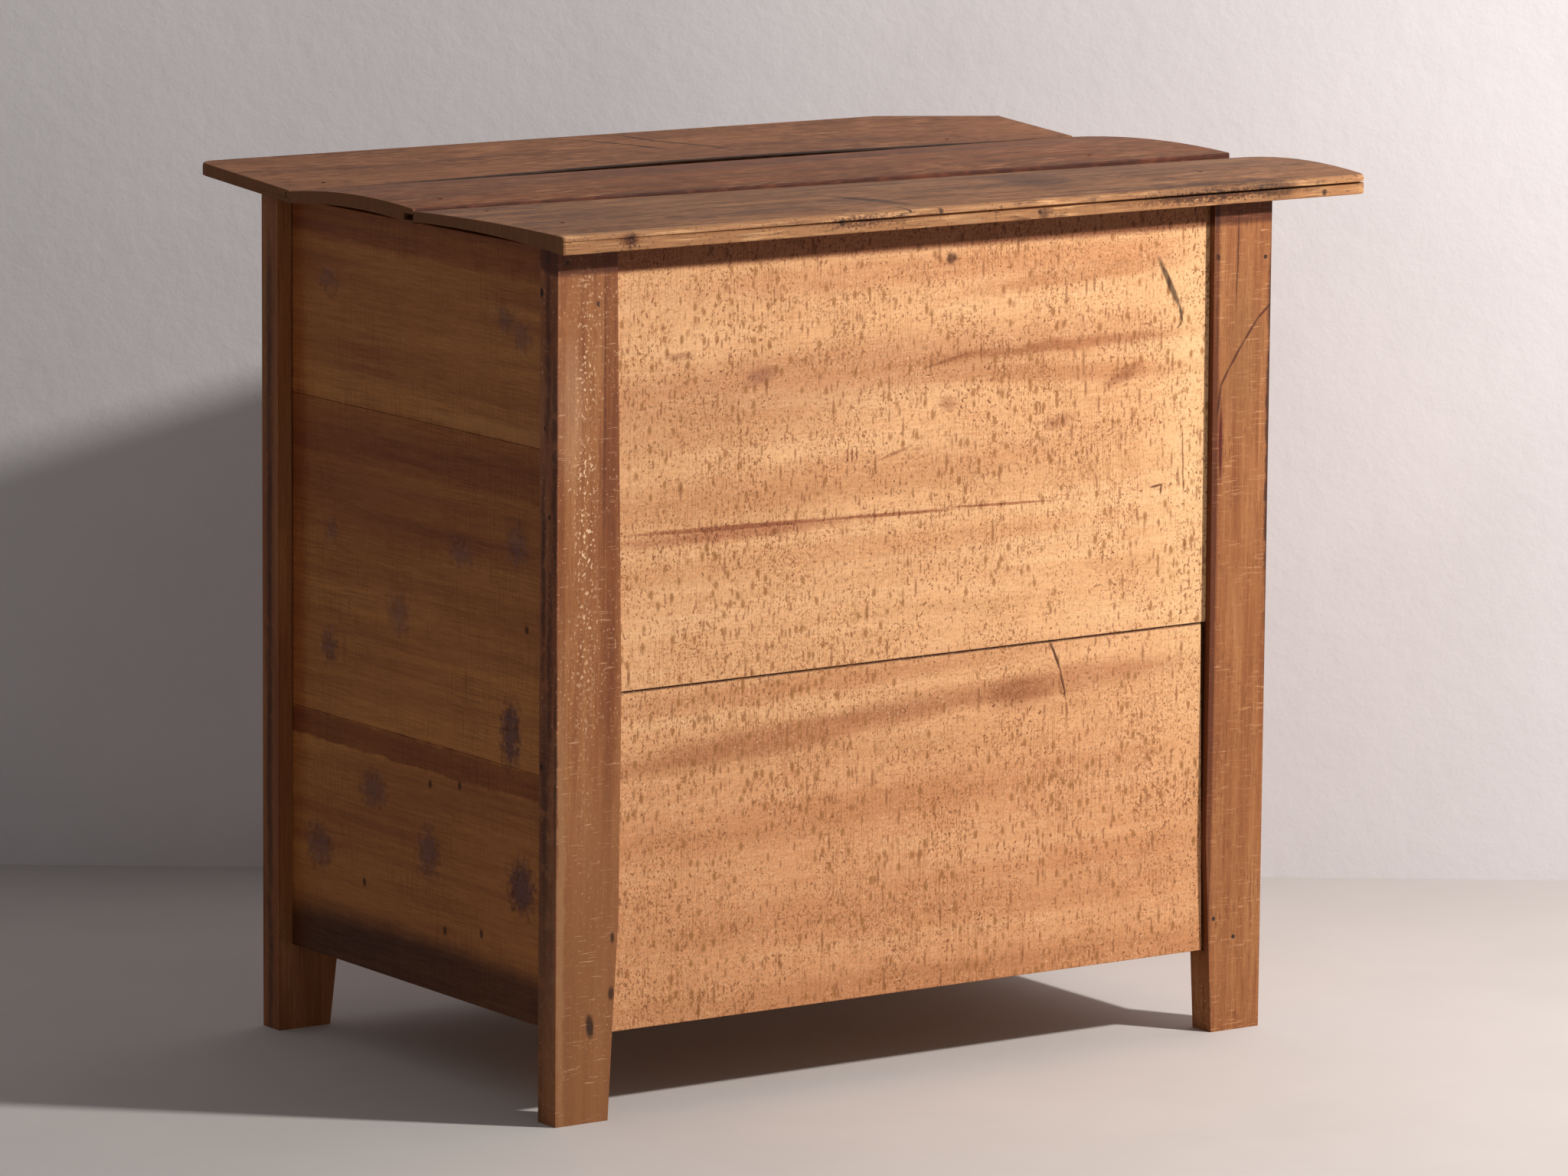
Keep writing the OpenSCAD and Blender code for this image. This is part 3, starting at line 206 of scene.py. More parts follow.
def start_beech(name, grain, colours, ring_mm=5.0, band_mm=45.0, swirl=0.4):
    """Lays bands, rings and pores in the grain's own frame. colours: pale, middle, dark."""
    material = bpy.data.materials.new(name)
    material.use_nodes = True
    tree = material.node_tree
    metres = add(tree, "TexCoord")["Object"]
    point = add(tree, "VectorMath", {0: metres, 1: [1 / MM] * 3, 2: -CASE},
                operation="MULTIPLY_ADD")[0]
    x, y, z = add(tree, "SeparateXYZ", {0: point})
    order = {"x": (x, y, z), "y": (y, x, z), "z": (z, y, x)}[grain]
    along = add(tree, "CombineXYZ", {0: order[0], 1: order[1], 2: order[2]})[0]

    def stretched(length, width, detail, rough=0.55, bend=0.0):
        at = add(tree, "VectorMath", {0: along, 1: (1 / length, 1 / width, 1 / width)},
                 operation="MULTIPLY")
        return add(tree, "TexNoise", {"Vector": at[0], "Scale": 1, "Detail": detail,
                                      "Roughness": rough, "Distortion": bend})[0]

    bands = stretched(band_mm * BAND_LENGTH, band_mm, 3, bend=swirl)
    rings = stretched(ring_mm * RING_LENGTH, ring_mm, 4, 0.6, swirl)
    pores = stretched(16, 1.3, 2)
    tone = add(tree, "Math", {0: bands, 1: 0.62, 2: 0.0}, operation="MULTIPLY_ADD")[0]
    tone = add(tree, "Math", {0: rings, 1: 0.38, 2: tone}, operation="MULTIPLY_ADD")[0]
    ramp = add(tree, "ValToRGB", {0: tone})
    stops = tree.nodes[-1].color_ramp.elements
    stops[0].position, stops[1].position = 0.36, 0.62
    stops[0].color, stops[1].color = linear(colours[2]), linear(colours[0])
    stops.new(0.48).color = linear(colours[1])
    grainy = add(tree, "MapRange", {0: pores, 1: 0.3, 2: 0.7, 3: 0.88, 4: 1.08})[0]
    colour = add(tree, "VectorMath", {0: ramp[0], "Scale": grainy}, operation="SCALE")[0]
    return {"material": material, "tree": tree, "point": point, "along": along,
            "colour": colour, "height": pores}


print("a ring 5 mm wide is drawn", 5 * RING_LENGTH, "mm long")

# %% [markdown]
# Rays, the sheets of cells that cross beech from the heart outwards, show as flecks. Voronoi
# cells give them: each cell holds one spot, a share of the cells stays empty, and squeezing the
# cells squeezes the spots into dashes. Placing thousands of spots as geometry would be far too
# heavy.

# %% Flecks
def lay(wood, mask, colour, sink, blend="MIX"):
    """Lays a colour on the wood where the mask is, and lets it in by sink."""
    tree = wood["tree"]
    wood["colour"] = add(tree, "Mix", {0: mask, 6: wood["colour"], 7: linear(colour)},
                         data_type="RGBA", blend_type=blend)[2]
    if sink:
        wood["height"] = add(tree, "Math", {0: mask, 1: -sink, 2: wood["height"]},
                             operation="MULTIPLY_ADD")[0]


def patches(wood, point, patch_mm):
    """A slow noise that decides where small marks show."""
    tree = wood["tree"]
    at = add(tree, "VectorMath", {0: wood[point], "Scale": 1 / patch_mm}, operation="SCALE")[0]
    return add(tree, "TexNoise", {"Vector": at, "Scale": 1, "Detail": 2})[0]


def flecks(wood, cell, size, share, colour, strength, patch_mm=60):
    """Scatters spots. cell: spacing in mm on x, y, z. size: their reach as a share of the cell."""
    tree = wood["tree"]
    at = add(tree, "Mapping", {"Vector": wood["point"], "Scale": [1 / c for c in cell]},
             vector_type="POINT")
    spot = add(tree, "TexVoronoi", {"Vector": at[0], "Scale": 1, "Randomness": 1})
    chance = add(tree, "SeparateColor", {0: spot["Color"]})[0]
    patch = patches(wood, "along", patch_mm)
    limit = add(tree, "MapRange", {0: patch, 1: 0.35, 2: 0.65, 3: 0, 4: 2 * share})[0]
    kept = add(tree, "Math", {0: chance, 1: limit}, operation="LESS_THAN")[0]
    spot = add(tree, "MapRange", {0: spot["Distance"], 1: 0.6 * size, 2: 1.25 * size,
                                  3: strength, 4: 0})[0]
    lay(wood, add(tree, "Math", {0: spot, 1: kept}, operation="MULTIPLY")[0], colour, 0)


# %% [markdown]
# Stains, knots, cracks, scratches and a few bands of painted shade sit at known places. Each is a
# soft ellipsoid in the wood, measured in millimetres: thin and long for a crack, flat and huge for
# a whole side that has darkened. A ragged copy of the point, pushed about by noise, keeps their
# edges from looking drawn with a compass.

# %% Stains and marks
def ragged_point(wood, push_mm, size_mm):
    """The point moved about by noise, for edges that wander."""
    tree = wood["tree"]
    at = add(tree, "VectorMath", {0: wood["point"], "Scale": 1 / size_mm}, operation="SCALE")[0]
    noise = add(tree, "TexNoise", {"Vector": at, "Scale": 1, "Detail": 4, "Roughness": 0.65})["Color"]
    push = add(tree, "VectorMath", {0: noise, 1: [2 * push_mm] * 3, 2: [-push_mm] * 3},
               operation="MULTIPLY_ADD")[0]
    return add(tree, "VectorMath", {0: wood["point"], 1: push}, operation="ADD")[0]


def inside(wood, at, size, strength=1.0, turn=0.0, edge=0.5, point=None):
    """How far a point is inside an ellipsoid. turn: degrees about y, or about x, y and z."""
    tree = wood["tree"]
    turns = turn if isinstance(turn, tuple) else (0, turn, 0)
    local = add(tree, "Mapping", {"Vector": point or wood["point"], "Location": at,
                                  "Rotation": [math.radians(t) for t in turns], "Scale": size},
                vector_type="TEXTURE")
    far = add(tree, "VectorMath", {0: local[0]}, operation="LENGTH")["Value"]
    return add(tree, "MapRange", {0: far, 1: 1 - edge, 2: 1 + edge, 3: strength, 4: 0},
               interpolation_type="SMOOTHSTEP")[0]


def mark(wood, at, size, colour, strength=0.8, turn=0.0, edge=0.5, point=None, sink=0.0,
         blend="MULTIPLY"):
    """Tints an ellipsoid, mostly for stains and in a few places for painted shade, and lets it in by
    sink.
    """
    lay(wood, inside(wood, at, size, strength, turn, edge, point), colour, sink, blend)


def line_between(wood, start, end, wide, colour, strength, point, sink=0.3):
    """A crack or scratch on an upright face, from one point (x, z) to another."""
    (x0, z0), (x1, z1) = start, end
    middle = ((x0 + x1) / 2, wood["face"], (z0 + z1) / 2)
    reach = math.hypot(x1 - x0, z1 - z0) / 2 + wide / 2
    mark(wood, middle, (wide, THROUGH, reach), colour, strength,
         math.degrees(math.atan2(x1 - x0, z1 - z0)), 0.4, point, sink)


# %% [markdown]
# A frame saw leaves fine lines across the board, clear in some places and planed or worn away in
# others. Noise that is squeezed on the board's length and drawn out across it gives the lines,
# and a second slow noise decides where they show. The same recipe with nearly round grains gives
# the speckle of torn fibres, which is ragged where the flecks are neat, and in a pale colour it
# gives the dust in the posts' pores. Real saw lines are about 1 mm apart, which is just wide
# enough to be seen here.

# %% Saw lines and speckle
# How far a streak is let into the wood, on the scale of the pores' own height
STREAK_SINK = 0.4


def streaks(wood, stretch, colour, strength, patch_mm=90, floor=0.5, ceiling=0.62, lean=0,
            only=None):
    """Ragged lines or specks. stretch: their size in mm on x, y, z. lean: degrees about y."""
    tree = wood["tree"]
    at = add(tree, "Mapping", {"Vector": wood["point"], "Rotation": (0, math.radians(lean), 0),
                               "Scale": [1 / s for s in stretch]}, vector_type="POINT")[0]
    line = add(tree, "TexNoise", {"Vector": at, "Scale": 1, "Detail": 2})[0]
    patch = patches(wood, "point", patch_mm)
    where = add(tree, "MapRange", {0: patch, 1: 0.4, 2: 0.6, 3: 0.25 * strength, 4: strength})[0]
    if only:
        where = add(tree, "Math", {0: where, 1: only}, operation="MULTIPLY")[0]
    mask = add(tree, "MapRange", {0: line, 1: floor, 2: ceiling, 3: 0, 4: where})[0]
    lay(wood, mask, colour, STREAK_SINK)


def finish_beech(wood, rough, relief_mm=0.25):
    """Joins the layers to the shader: bare wood is a dielectric, and its pores scatter light."""
    tree = wood["tree"]
    shader = tree.nodes["Principled BSDF"]
    tree.links.new(wood["colour"], shader.inputs["Base Color"])
    dull = add(tree, "MapRange", {0: wood["height"], 1: 0.3, 2: 0.7,
                                  3: rough + 0.08, 4: rough - 0.06})[0]
    tree.links.new(dull, shader.inputs["Roughness"])
    relief = add(tree, "Bump", {"Height": wood["height"], "Strength": 0.6,
                                "Distance": relief_mm * MM})[0]
    tree.links.new(relief, shader.inputs["Normal"])
    shader.inputs["IOR"].default_value = 1.5
    shader.inputs["Specular IOR Level"].default_value = 0.3
    return wood["material"]


print("marks are placed in millimetres")

# %% [markdown]
# Every piece of the frame brings its own material slots. A finish goes into all of them, and the
# piece keeps its shape and place.

# %% Put a finish on pieces of the frame
def dress(finish, *names):
    """Gives a finish to pieces that keep their shape."""
    for name in names:
        for slot in nodes[name].material_slots:
            slot.material = finish
    print(finish.name, "on", len(names), "pieces")


# %% [markdown]
# The back boards are the palest wood here: beech sawn through the rays and never planed. Dots and
# short upright dashes are the rays, the slow bands across are heartwood, and a long shake runs
# through the upper board. Both boards share one finish, as both were cut from one log.

# %% Back boards
BACK_Y = 249.5
saw_face = start_beech("rough_sawn_beech_back", "x", ("#eab988", "#e3ad7c", "#d9a473"),
                       ring_mm=7, band_mm=30, swirl=0.5)
saw_face["face"] = BACK_Y
streaks(saw_face, (1.5, 40, 30), "#b37c4e", 0.5, 120)
# x, z, width, height, colour, strength and tilt of each band
BACK_BANDS = {
    "upper_high": (92, 670, 330, 24, "#cdb0a4", 0.55, 2.6),
    "upper_thin": (-180, 678, 170, 5, "#b98a68", 0.6, 1.2),
    "upper_mid": (-190, 650, 180, 9, "#c9a68e", 0.55, -2.0),
    "upper_low": (240, 628, 180, 20, "#cfb4a2", 0.45, 1.5),
    "above_shake": (120, 570, 330, 20, "#d6b8a2", 0.45, 3.0),
    "top_edge": (-60, 758, 420, 12, "#d0a68c", 0.45, 0.6),
    "top_right": (-190, 742, 130, 8, "#bf8f68", 0.5, 3.5),
    "under_shake": (150, 500, 300, 14, "#dcc0a8", 0.4, 1.0),
    "lower_rising": (150, 336, 190, 13, "#bb9280", 0.6, 4.0),
    "lower_far": (-150, 358, 190, 11, "#c09a86", 0.55, 2.4),
    "lower_top": (120, 382, 270, 10, "#cfae98", 0.5, 2.0),
    "lower_mid": (60, 262, 320, 16, "#d8bca6", 0.35, 2.5),
    "lower_low": (-60, 170, 320, 24, "#d4b8a4", 0.25, 1.0),
    "foot_edge": (0, 88, 420, 16, "#c8a890", 0.4, 0.0),
}
wander = ragged_point(saw_face, 8, 50)
for x, z, wide, tall, colour, strength, turn in BACK_BANDS.values():
    mark(saw_face, (x, BACK_Y, z), (wide, THROUGH, tall), colour, strength, turn, 0.6, wander)
mark(saw_face, (-345, BACK_Y, 560), (60, THROUGH, 330), "#f3c793", 0.5, 0, 0.6, wander, blend="MIX")
mark(saw_face, (0, BACK_Y, 130), (ALL, THROUGH, 200), "#efdfd8", 0.9, 0, 0.55)
mark(saw_face, (0, BACK_Y, 396), (ALL, THROUGH, 1.3), "#543220", 0.9, 0.43, 0.4)
streaks(saw_face, (1.9, 40, 2.4), "#935c30", 0.85, 60, 0.555, 0.65, 20)
streaks(saw_face, (2.4, 40, 2.4), "#f6d3a6", 0.4, 50, 0.56, 0.7)
streaks(saw_face, (3.2, 40, 4.4), "#8f5a32", 0.85, 80, 0.6, 0.66, -12)
streaks(saw_face, (3.2, 40, 3.4), "#7d4a28", 0.9, 45, 0.62, 0.68, 24)
streaks(saw_face, (26, 40, 2.6), "#c78a5c", 0.5, 90, 0.58, 0.68)
flecks(saw_face, (5, 40, 18), 0.26, 0.5, "#8e5a34", 0.7, 95)
flecks(saw_face, (8, 40, 15), 0.3, 0.35, "#94602f", 0.75, 110)
flecks(saw_face, (8, 40, 46), 0.2, 0.3, "#8a5630", 0.7, 140)
# Painted shadow: the band under the top's reach is darkened on the back boards, over the lamp's own
# shadow
mark(saw_face, (0, BACK_Y, 815), (ALL, THROUGH, 38), PAINTED_SHADOW_UNDER_TOP, 0.9, 0, 0.08)
print(len(BACK_BANDS), "bands on the back")

# %% [markdown]
# The back has been scraped, knocked and soaked. The long shake runs where the wood split along its
# rings. Each line follows a named path, and a slightly ragged point keeps it from looking ruled.

# %% Marks on the back boards
close = ragged_point(saw_face, 1.2, 9)
blur = ragged_point(saw_face, 6, 12)
# Start (x, z), end (x, z), width, colour and strength of each line
BACK_LINES = {
    "shake_right": ((322, 537), (94, 534), 2.4, "#a8705c", 0.7),
    "shake_middle": ((94, 534), (-36, 532), 1.7, "#a06a54", 0.75),
    "shake_left": ((-36, 534), (-150, 531), 1.3, "#a8705a", 0.75),
    "scratch_top": ((-276, 750), (-301, 703), 3.0, "#4a443c", 0.85),
    "scratch_low": ((-301, 703), (-304, 690), 1.6, "#4a443c", 0.85),
    "scratch_hook": ((-303, 688), (-298, 684), 1.2, "#5a5044", 0.7),
    "upright_crack": ((-306, 589), (-308, 527), 1.0, "#7a4e30", 0.7),
    "hook": ((-269, 534), (-282, 536), 1.2, "#5a3018", 0.85),
    "hook_drop": ((-282, 536), (-281, 527), 1.2, "#5a3018", 0.85),
    "streak": ((-3, 666), (-55, 677), 1.6, "#a8806c", 0.45),
    "low_streak": ((41, 586), (12, 594), 1.6, "#a06e60", 0.5),
    "crack_top": ((-154, 397), (-166, 369), 1.5, "#4a2a16", 0.9),
    "crack_low": ((-166, 369), (-173, 341), 1.2, "#5a341c", 0.85),
}
for start, end, wide, colour, strength in BACK_LINES.values():
    line_between(saw_face, start, end, wide, colour, strength, close)
for x in (80, 75, 70):
    line_between(saw_face, (x, 586), (x, 599), 1.0, "#8e5a34", 0.7, close)
# x, z, width, height, colour, strength and tilt of each blot
BACK_BLOTS = {
    "smudge_far": (-233, 642, 20, 6, "#b08a74", 0.6, 18),
    "smudge_near": (-160, 605, 16, 6, "#b08a74", 0.55, 12),
    "smudge_left": (177, 673, 16, 7, "#9c7482", 0.5, 10),
    "smudge_edge": (266, 697, 14, 4, "#a08070", 0.5, 0),
    "smudge_low": (-34, 632, 10, 6, "#a5786a", 0.5, 0),
    "knot": (-35, 767, 4.5, 6, "#5a3424", 0.85, -20),
    "damp": (-120, 352, 36, 14, "#b08a70", 0.5, 0),
}
for x, z, wide, tall, colour, strength, turn in BACK_BLOTS.values():
    mark(saw_face, (x, BACK_Y, z), (wide, THROUGH, tall), colour, strength, turn, 0.6, blur)
mark(saw_face, (210, BACK_Y, 530), (120, THROUGH, 6), "#b98678", 0.6, 0.8, 0.6, blur)
print(len(BACK_LINES), "lines and", len(BACK_BLOTS), "blots on the back")
dress(finish_beech(saw_face, 0.68, 0.3), "back_board_lower", "back_board_upper")

# %% [markdown]
# The posts are planed beech, redder and straight in the grain, with pale dust in the pores. Their
# outer faces on the right side are nearly black-purple in streaks, from iron and damp.

# %% Posts
PLANED = ("#a97245", "#985f36", "#854d2a")
POST_Y = 257
SIDE_X = 403


def start_post(name):
    """Planed beech with the grain standing up."""
    wood = start_beech(name, "z", PLANED, ring_mm=4.5, band_mm=16, swirl=0.25)
    streaks(wood, (1.8, 1.8, 50), "#7c4628", 0.45, 80)
    streaks(wood, (3, 3, 2), "#7a4628", 0.5, 50, 0.57, 0.68)
    return wood


post_near = start_post("planed_beech_post_right")
post_near["face"] = POST_Y
wander = ragged_point(post_near, 5, 22)
close = ragged_point(post_near, 1, 8)
streaks(post_near, (2.2, 2.2, 4), "#e6c09a", 0.75, 70, 0.63, 0.69)
flaked = inside(post_near, (373, POST_Y, 560), (11, THROUGH, 250), 1, 0, 0.5)
streaks(post_near, (2.8, 2.8, 4), "#efc8a0", 0.95, 60, 0.585, 0.65, only=flaked)
mark(post_near, (390, POST_Y, 655), (14, THROUGH, 60), "#d8ab84", 0.22, 0, 0.5, wander, blend="MIX")
mark(post_near, (SIDE_X, 243, 400), (1.5, 60, 900), "#f0dee4", 0.9, 0, 0.2)
# The remainders scatter the damp streaks unevenly over the post's outer face
for z in range(40, 800, 95):
    tall = 87 + 3 * (z * 37 % 11)
    mark(post_near, (SIDE_X, 228 + (z * 53 % 29), z), (1.5, 4, tall), "#6a5466", 0.7, 0, 0.6, wander)
mark(post_near, (SIDE_X, 236, 215), (1.5, 9, 190), "#76607e", 0.7, 0, 0.5, wander)
mark(post_near, (SIDE_X - 4, POST_Y, 420), (4, 1.5, 420), "#d8c0ae", 0.6, 0, 0.6, wander)
line_between(post_near, (352, 800), (353, 500), 1.2, "#8a5540", 0.45, close, 0)
mark(post_near, (345, POST_Y, 600), (9, THROUGH, 330), "#b07a58", 0.5, 0, 0.5, wander)
mark(post_near, (365, POST_Y, 60), (60, THROUGH, 230), "#8a5a36", 0.7, 0, 0.6, wander, blend="MIX")
streaks(post_near, (15, 3, 1.5), "#cfa27a", 0.6, 40, 0.655, 0.7)
mark(post_near, (366, POST_Y, 90), (4, 20, 11), NAIL_HOLE, 0.85, 6, 0.4, close, 0.6)
mark(post_near, (343, POST_Y, 118), (3, 20, 6), NAIL_HOLE, 0.8, 0, 0.5, close, 0.6)
mark(post_near, (342, POST_Y, 170), (2, 20, 5), NAIL_HOLE, 0.8, 0, 0.5, close, 0.6)
mark(post_near, (398, POST_Y, 200), (4, 20, 220), "#b08a60", 0.35, 0, 0.6, wander, blend="MIX")
for y, z, size in ((230, 762, 4), (221, 711, 3.4), (236, 640, 2), (244, 560, 2.4), (232, 330, 3)):
    mark(post_near, (SIDE_X, y, z), (3, size * 0.7, size), "#20140f", 0.95, 0, 0.5, close, 0.8)
mark(post_near, (360, POST_Y, 752), (1.6, 3, 3), RUST, 0.8, 0, 0.4, close, 0.5)
# Painted shadow under the top's reach, as on the back boards
mark(post_near, (0, POST_Y, 815), (ALL, THROUGH, 36), PAINTED_SHADOW_UNDER_TOP, 0.85, 0, 0.08)
dress(finish_beech(post_near, 0.55, 0.2), "post_back_right")

post_far = start_post("planed_beech_post_left")
post_far["face"] = POST_Y
wander = ragged_point(post_far, 5, 30)
close = ragged_point(post_far, 1.2, 14)
mark(post_far, (-372, POST_Y, 655), (22, THROUGH, 70), "#8a6038", 0.35, 0, 0.6, wander, blend="MIX")
streaks(post_far, (16, 3, 1.6), "#cf9a6c", 0.55, 40, 0.6, 0.68)
streaks(post_far, (1.5, 3, 9), "#6e3e22", 0.6, 40, 0.58, 0.66)
mark(post_far, (-338, POST_Y, 400), (5, THROUGH, 520), "#8a5a40", 0.8, 0, 0.3, close)
PURPLE_CURVE = [(-403, 701), (-387, 687), (-371, 666), (-355, 643), (-345, 626), (-342, 600)]
for start, end in zip(PURPLE_CURVE, PURPLE_CURVE[1:]):
    line_between(post_far, start, end, 1.4, "#74385a", 0.8, close, 0)
line_between(post_far, (-346, 604), (-346, 537), 2.2, "#8a2438", 0.9, close, 0)
line_between(post_far, (-364, 788), (-362, 704), 0.9, "#5a3020", 0.7, close)
mark(post_far, (-340, POST_Y, 749), (2.2, 20, 3), "#6a3040", 0.8, 0, 0.4, close)
mark(post_far, (-403, POST_Y, 570), (3.2, THROUGH, 190), "#5c4664", 0.9, 0, 0.5, wander)
# Painted shadow under the top's reach, as on the back boards
mark(post_far, (0, POST_Y, 815), (ALL, THROUGH, 36), PAINTED_SHADOW_UNDER_TOP, 0.85, 0, 0.08)
dress(finish_beech(post_far, 0.55, 0.2), "post_back_left")

post_front = start_post("planed_beech_post_front")
wander = ragged_point(post_front, 4, 26)
mark(post_front, (SIDE_X, -243, 400), (1.5, 60, 900), "#eee0cc", 0.9, 0, 0.2)
for z in range(30, 800, 110):
    mark(post_front, (SIDE_X, -250 + (z * 31 % 22), z), (1.5, 5, 80), "#6a5462", 0.6, 0, 0.6, wander)
dress(finish_beech(post_front, 0.55, 0.2), "post_front_left", "post_front_right")

rails = start_beech("planed_beech_rail", "x", PLANED, ring_mm=4.5, band_mm=16, swirl=0.25)
streaks(rails, (50, 1.8, 1.8), "#7c4628", 0.45, 80)
dress(finish_beech(rails, 0.55, 0.2), "front_rail_top", "front_rail_bottom")

# %% [markdown]
# The side boards are planed too, but with the grain lying down, and a damp-darkened band runs
# along their foot. The blocky purple smudges are old stains, each 20 to 45 mm across.

# %% Side boards
SIDE_FACE = 388
SIDE_DEEP = 30
boards = start_beech("planed_beech_side", "y", ("#c28040", "#b06e38", "#9a5c2e"),
                     ring_mm=8, band_mm=40, swirl=0.35)
streaks(boards, (30, 2.2, 40), "#86502a", 0.35, 120)
streaks(boards, (30, 60, 2.0), "#7c4a28", 0.35, 120)
streaks(boards, (30, 2.2, 2.6), "#7a4a2a", 0.5, 60, 0.57, 0.68)
wander = ragged_point(boards, 5, 34)
blocky = ragged_point(boards, 26, 8)
broken = ragged_point(boards, 45, 4.5)
# y, z, width, height, colour, strength and softness of each shade
SIDE_SHADES = {
    # The band under the top's reach is painted shade, darkest where the top overhangs the side
    "painted_shade_under_top": (0, 812, 600, 45, "#bd9480", 0.6, 0.12),
    "under_seam": (0, 590, 600, 27, "#cdb4ac", 0.6, 0.12),
    "under_soft": (-30, 545, 420, 66, "#c2a49c", 0.5, 0.6),
    "low_seam": (0, 303, 600, 13, "#a87c66", 0.7, 0.12),
    "foot": (0, 88, 600, 42, "#6e6062", 0.9, 0.35),
    "red_front": (-215, 500, 14, 260, "#d08a60", 0.5, 0.6),
}
for y, z, wide, tall, colour, strength, edge in SIDE_SHADES.values():
    mark(boards, (SIDE_FACE, y, z), (SIDE_DEEP, wide, tall), colour, strength, 0, edge, wander)
mark(boards, (SIDE_FACE, 140, 624), (SIDE_DEEP, 130, 8), "#c98f52", 0.4, 0, 0.3, wander, blend="MIX")
# y, z, width, height and strength of each smudge
SIDE_SMUDGES = {
    "upper_back": (146, 727, 14, 12, 0.35),
    "upper_side": (173, 713, 14, 13, 0.35),
    "upper_front": (-162, 729, 18, 9, 0.35),
    "middle_back": (168, 522, 16, 18, 0.35),
    "middle_mid": (72, 502, 20, 11, 0.35),
    "middle_front": (-156, 494, 10, 9, 0.35),
    "grey_mid": (-36, 430, 18, 18, 0.35),
    "grey_low": (-160, 383, 12, 16, 0.5),
    "seam_back": (157, 346, 15, 30, 0.8),
    "lower_front": (-81, 257, 20, 16, 0.5),
    "lower_far": (-177, 188, 22, 20, 0.5),
    "lower_mid": (16, 214, 16, 24, 0.5),
    "lower_back": (176, 207, 20, 24, 0.8),
}
for y, z, wide, tall, strength in SIDE_SMUDGES.values():
    mark(boards, (SIDE_FACE, y, z), (SIDE_DEEP, wide, tall), "#6a4a5c", strength, 0, 0.5, blocky)
    core = (SIDE_DEEP, wide * 0.8, tall * 0.8)
    mark(boards, (SIDE_FACE, y, z), core, "#8c7480", 0.2, 0, 0.5, broken, blend="MIX")
close = ragged_point(boards, 1.2, 8)
mark(boards, (SIDE_FACE, -227, 560), (SIDE_DEEP, 1.6, 330), "#3c2218", 0.75, 0, 0.6, close)
for y, z in ((70, 285), (19, 278), (-97, 166), (45, 144), (108, 152), (184, 447)):
    mark(boards, (SIDE_FACE, y, z), (SIDE_DEEP, 3, 4), RUST, 0.8, 0, 0.5, close, 0.5)
dress(finish_beech(boards, 0.55, 0.2), "side_left_lower", "side_left_middle", "side_left_upper",
      "side_right_lower", "side_right_middle", "side_right_upper")

# %% [markdown]
# The top has had the most light, dust and wiping, so it is greyer and browner, and smoother. The
# front two boards are warm. The back one has a darker figure. Its back edge is rubbed pale, and the
# pale strip along it on the top is also a painted highlight where the top turns down to that edge.

# %% Top boards
TOP_END = 413
SEAM_FRONT_Y = -190.5
SEAM_BACK = ((-46.5, 47.5, 815), (0, 0, -2.37))


def start_top(name, colours, band_mm):
    """Wiped and weathered beech, figured in seven layers of streaks."""
    wood = start_beech(name, "x", colours, ring_mm=5, band_mm=band_mm, swirl=0.6)
    streaks(wood, (90, 2.6, 30), "#5c3620", 0.55, 110)
    streaks(wood, (14, 3.5, 9), "#4e2e1a", 0.6, 60, 0.58, 0.68)
    streaks(wood, (18, 5, 9), "#c08458", 0.4, 80, 0.56, 0.7)
    streaks(wood, (34, 1.5, 2.2), "#4a2c1a", 0.6, 70, 0.56, 0.66)
    streaks(wood, (30, 8, 30), "#b27c58", 0.5, 90, 0.5, 0.68)
    streaks(wood, (22, 6, 30), "#583a2c", 0.55, 70, 0.52, 0.68)
    streaks(wood, (22, 1.6, 2), "#b98a62", 0.4, 60, 0.58, 0.68)
    return wood


def finish_top(wood):
    """The sawn end, darker because its open grain took up the dirt, and the last touch."""
    mark(wood, (TOP_END, 0, 810), (2.5, ALL, ALL), "#7a4c26", 0.8, 0, 0.2, blend="MIX")
    return finish_beech(wood, 0.6, 0.2)


top_front = start_top("wiped_beech_top_front", ("#94603a", "#825030", "#6a3e24"), 34)
close = ragged_point(top_front, 1.2, 14)
for at, size, turn in (((-19, -313, 818), (24, 2.8, 30), -57), ((-42, -275, 818), (24, 2.8, 30), -62),
                       ((-66, -320, 818), (27, 2.5, 30), -71), ((-89, -277, 818), (28, 2.5, 30), -55),
                       ((-109, -240, 818), (18, 1.8, 30), -72)):
    mark(top_front, at, size, "#4a1e10", 0.9, (0, 0, turn), 0.3, close, 0.6)
# Painted shade: the open seam between the front and middle boards, which lies in shadow, is darkened
mark(top_front, (-60, SEAM_FRONT_Y, 812), (420, 3, 30), "#2e160a", 0.9, 0, 0.4)
dress(finish_top(top_front), "top_board_front")

top_middle = start_top("wiped_beech_top_middle", ("#86491e", "#723f1a", "#5c3114"), 30)
# Painted shade on the middle board's side of the same open seam
mark(top_middle, (-60, SEAM_FRONT_Y - 4, 812), (420, 4.5, 30), "#2e160a", 0.9, 0, 0.15)
mark(top_middle, SEAM_BACK[0], (ALL, 1.6, 30), "#9a5c44", 0.8, SEAM_BACK[1], 0.4)
wander = ragged_point(top_middle, 8, 40)
mark(top_middle, (-60, -120, 818), (260, 26, 30), "#c99a80", 0.5, (0, 0, 1), 0.6, wander)
dress(finish_top(top_middle), "top_board_middle")

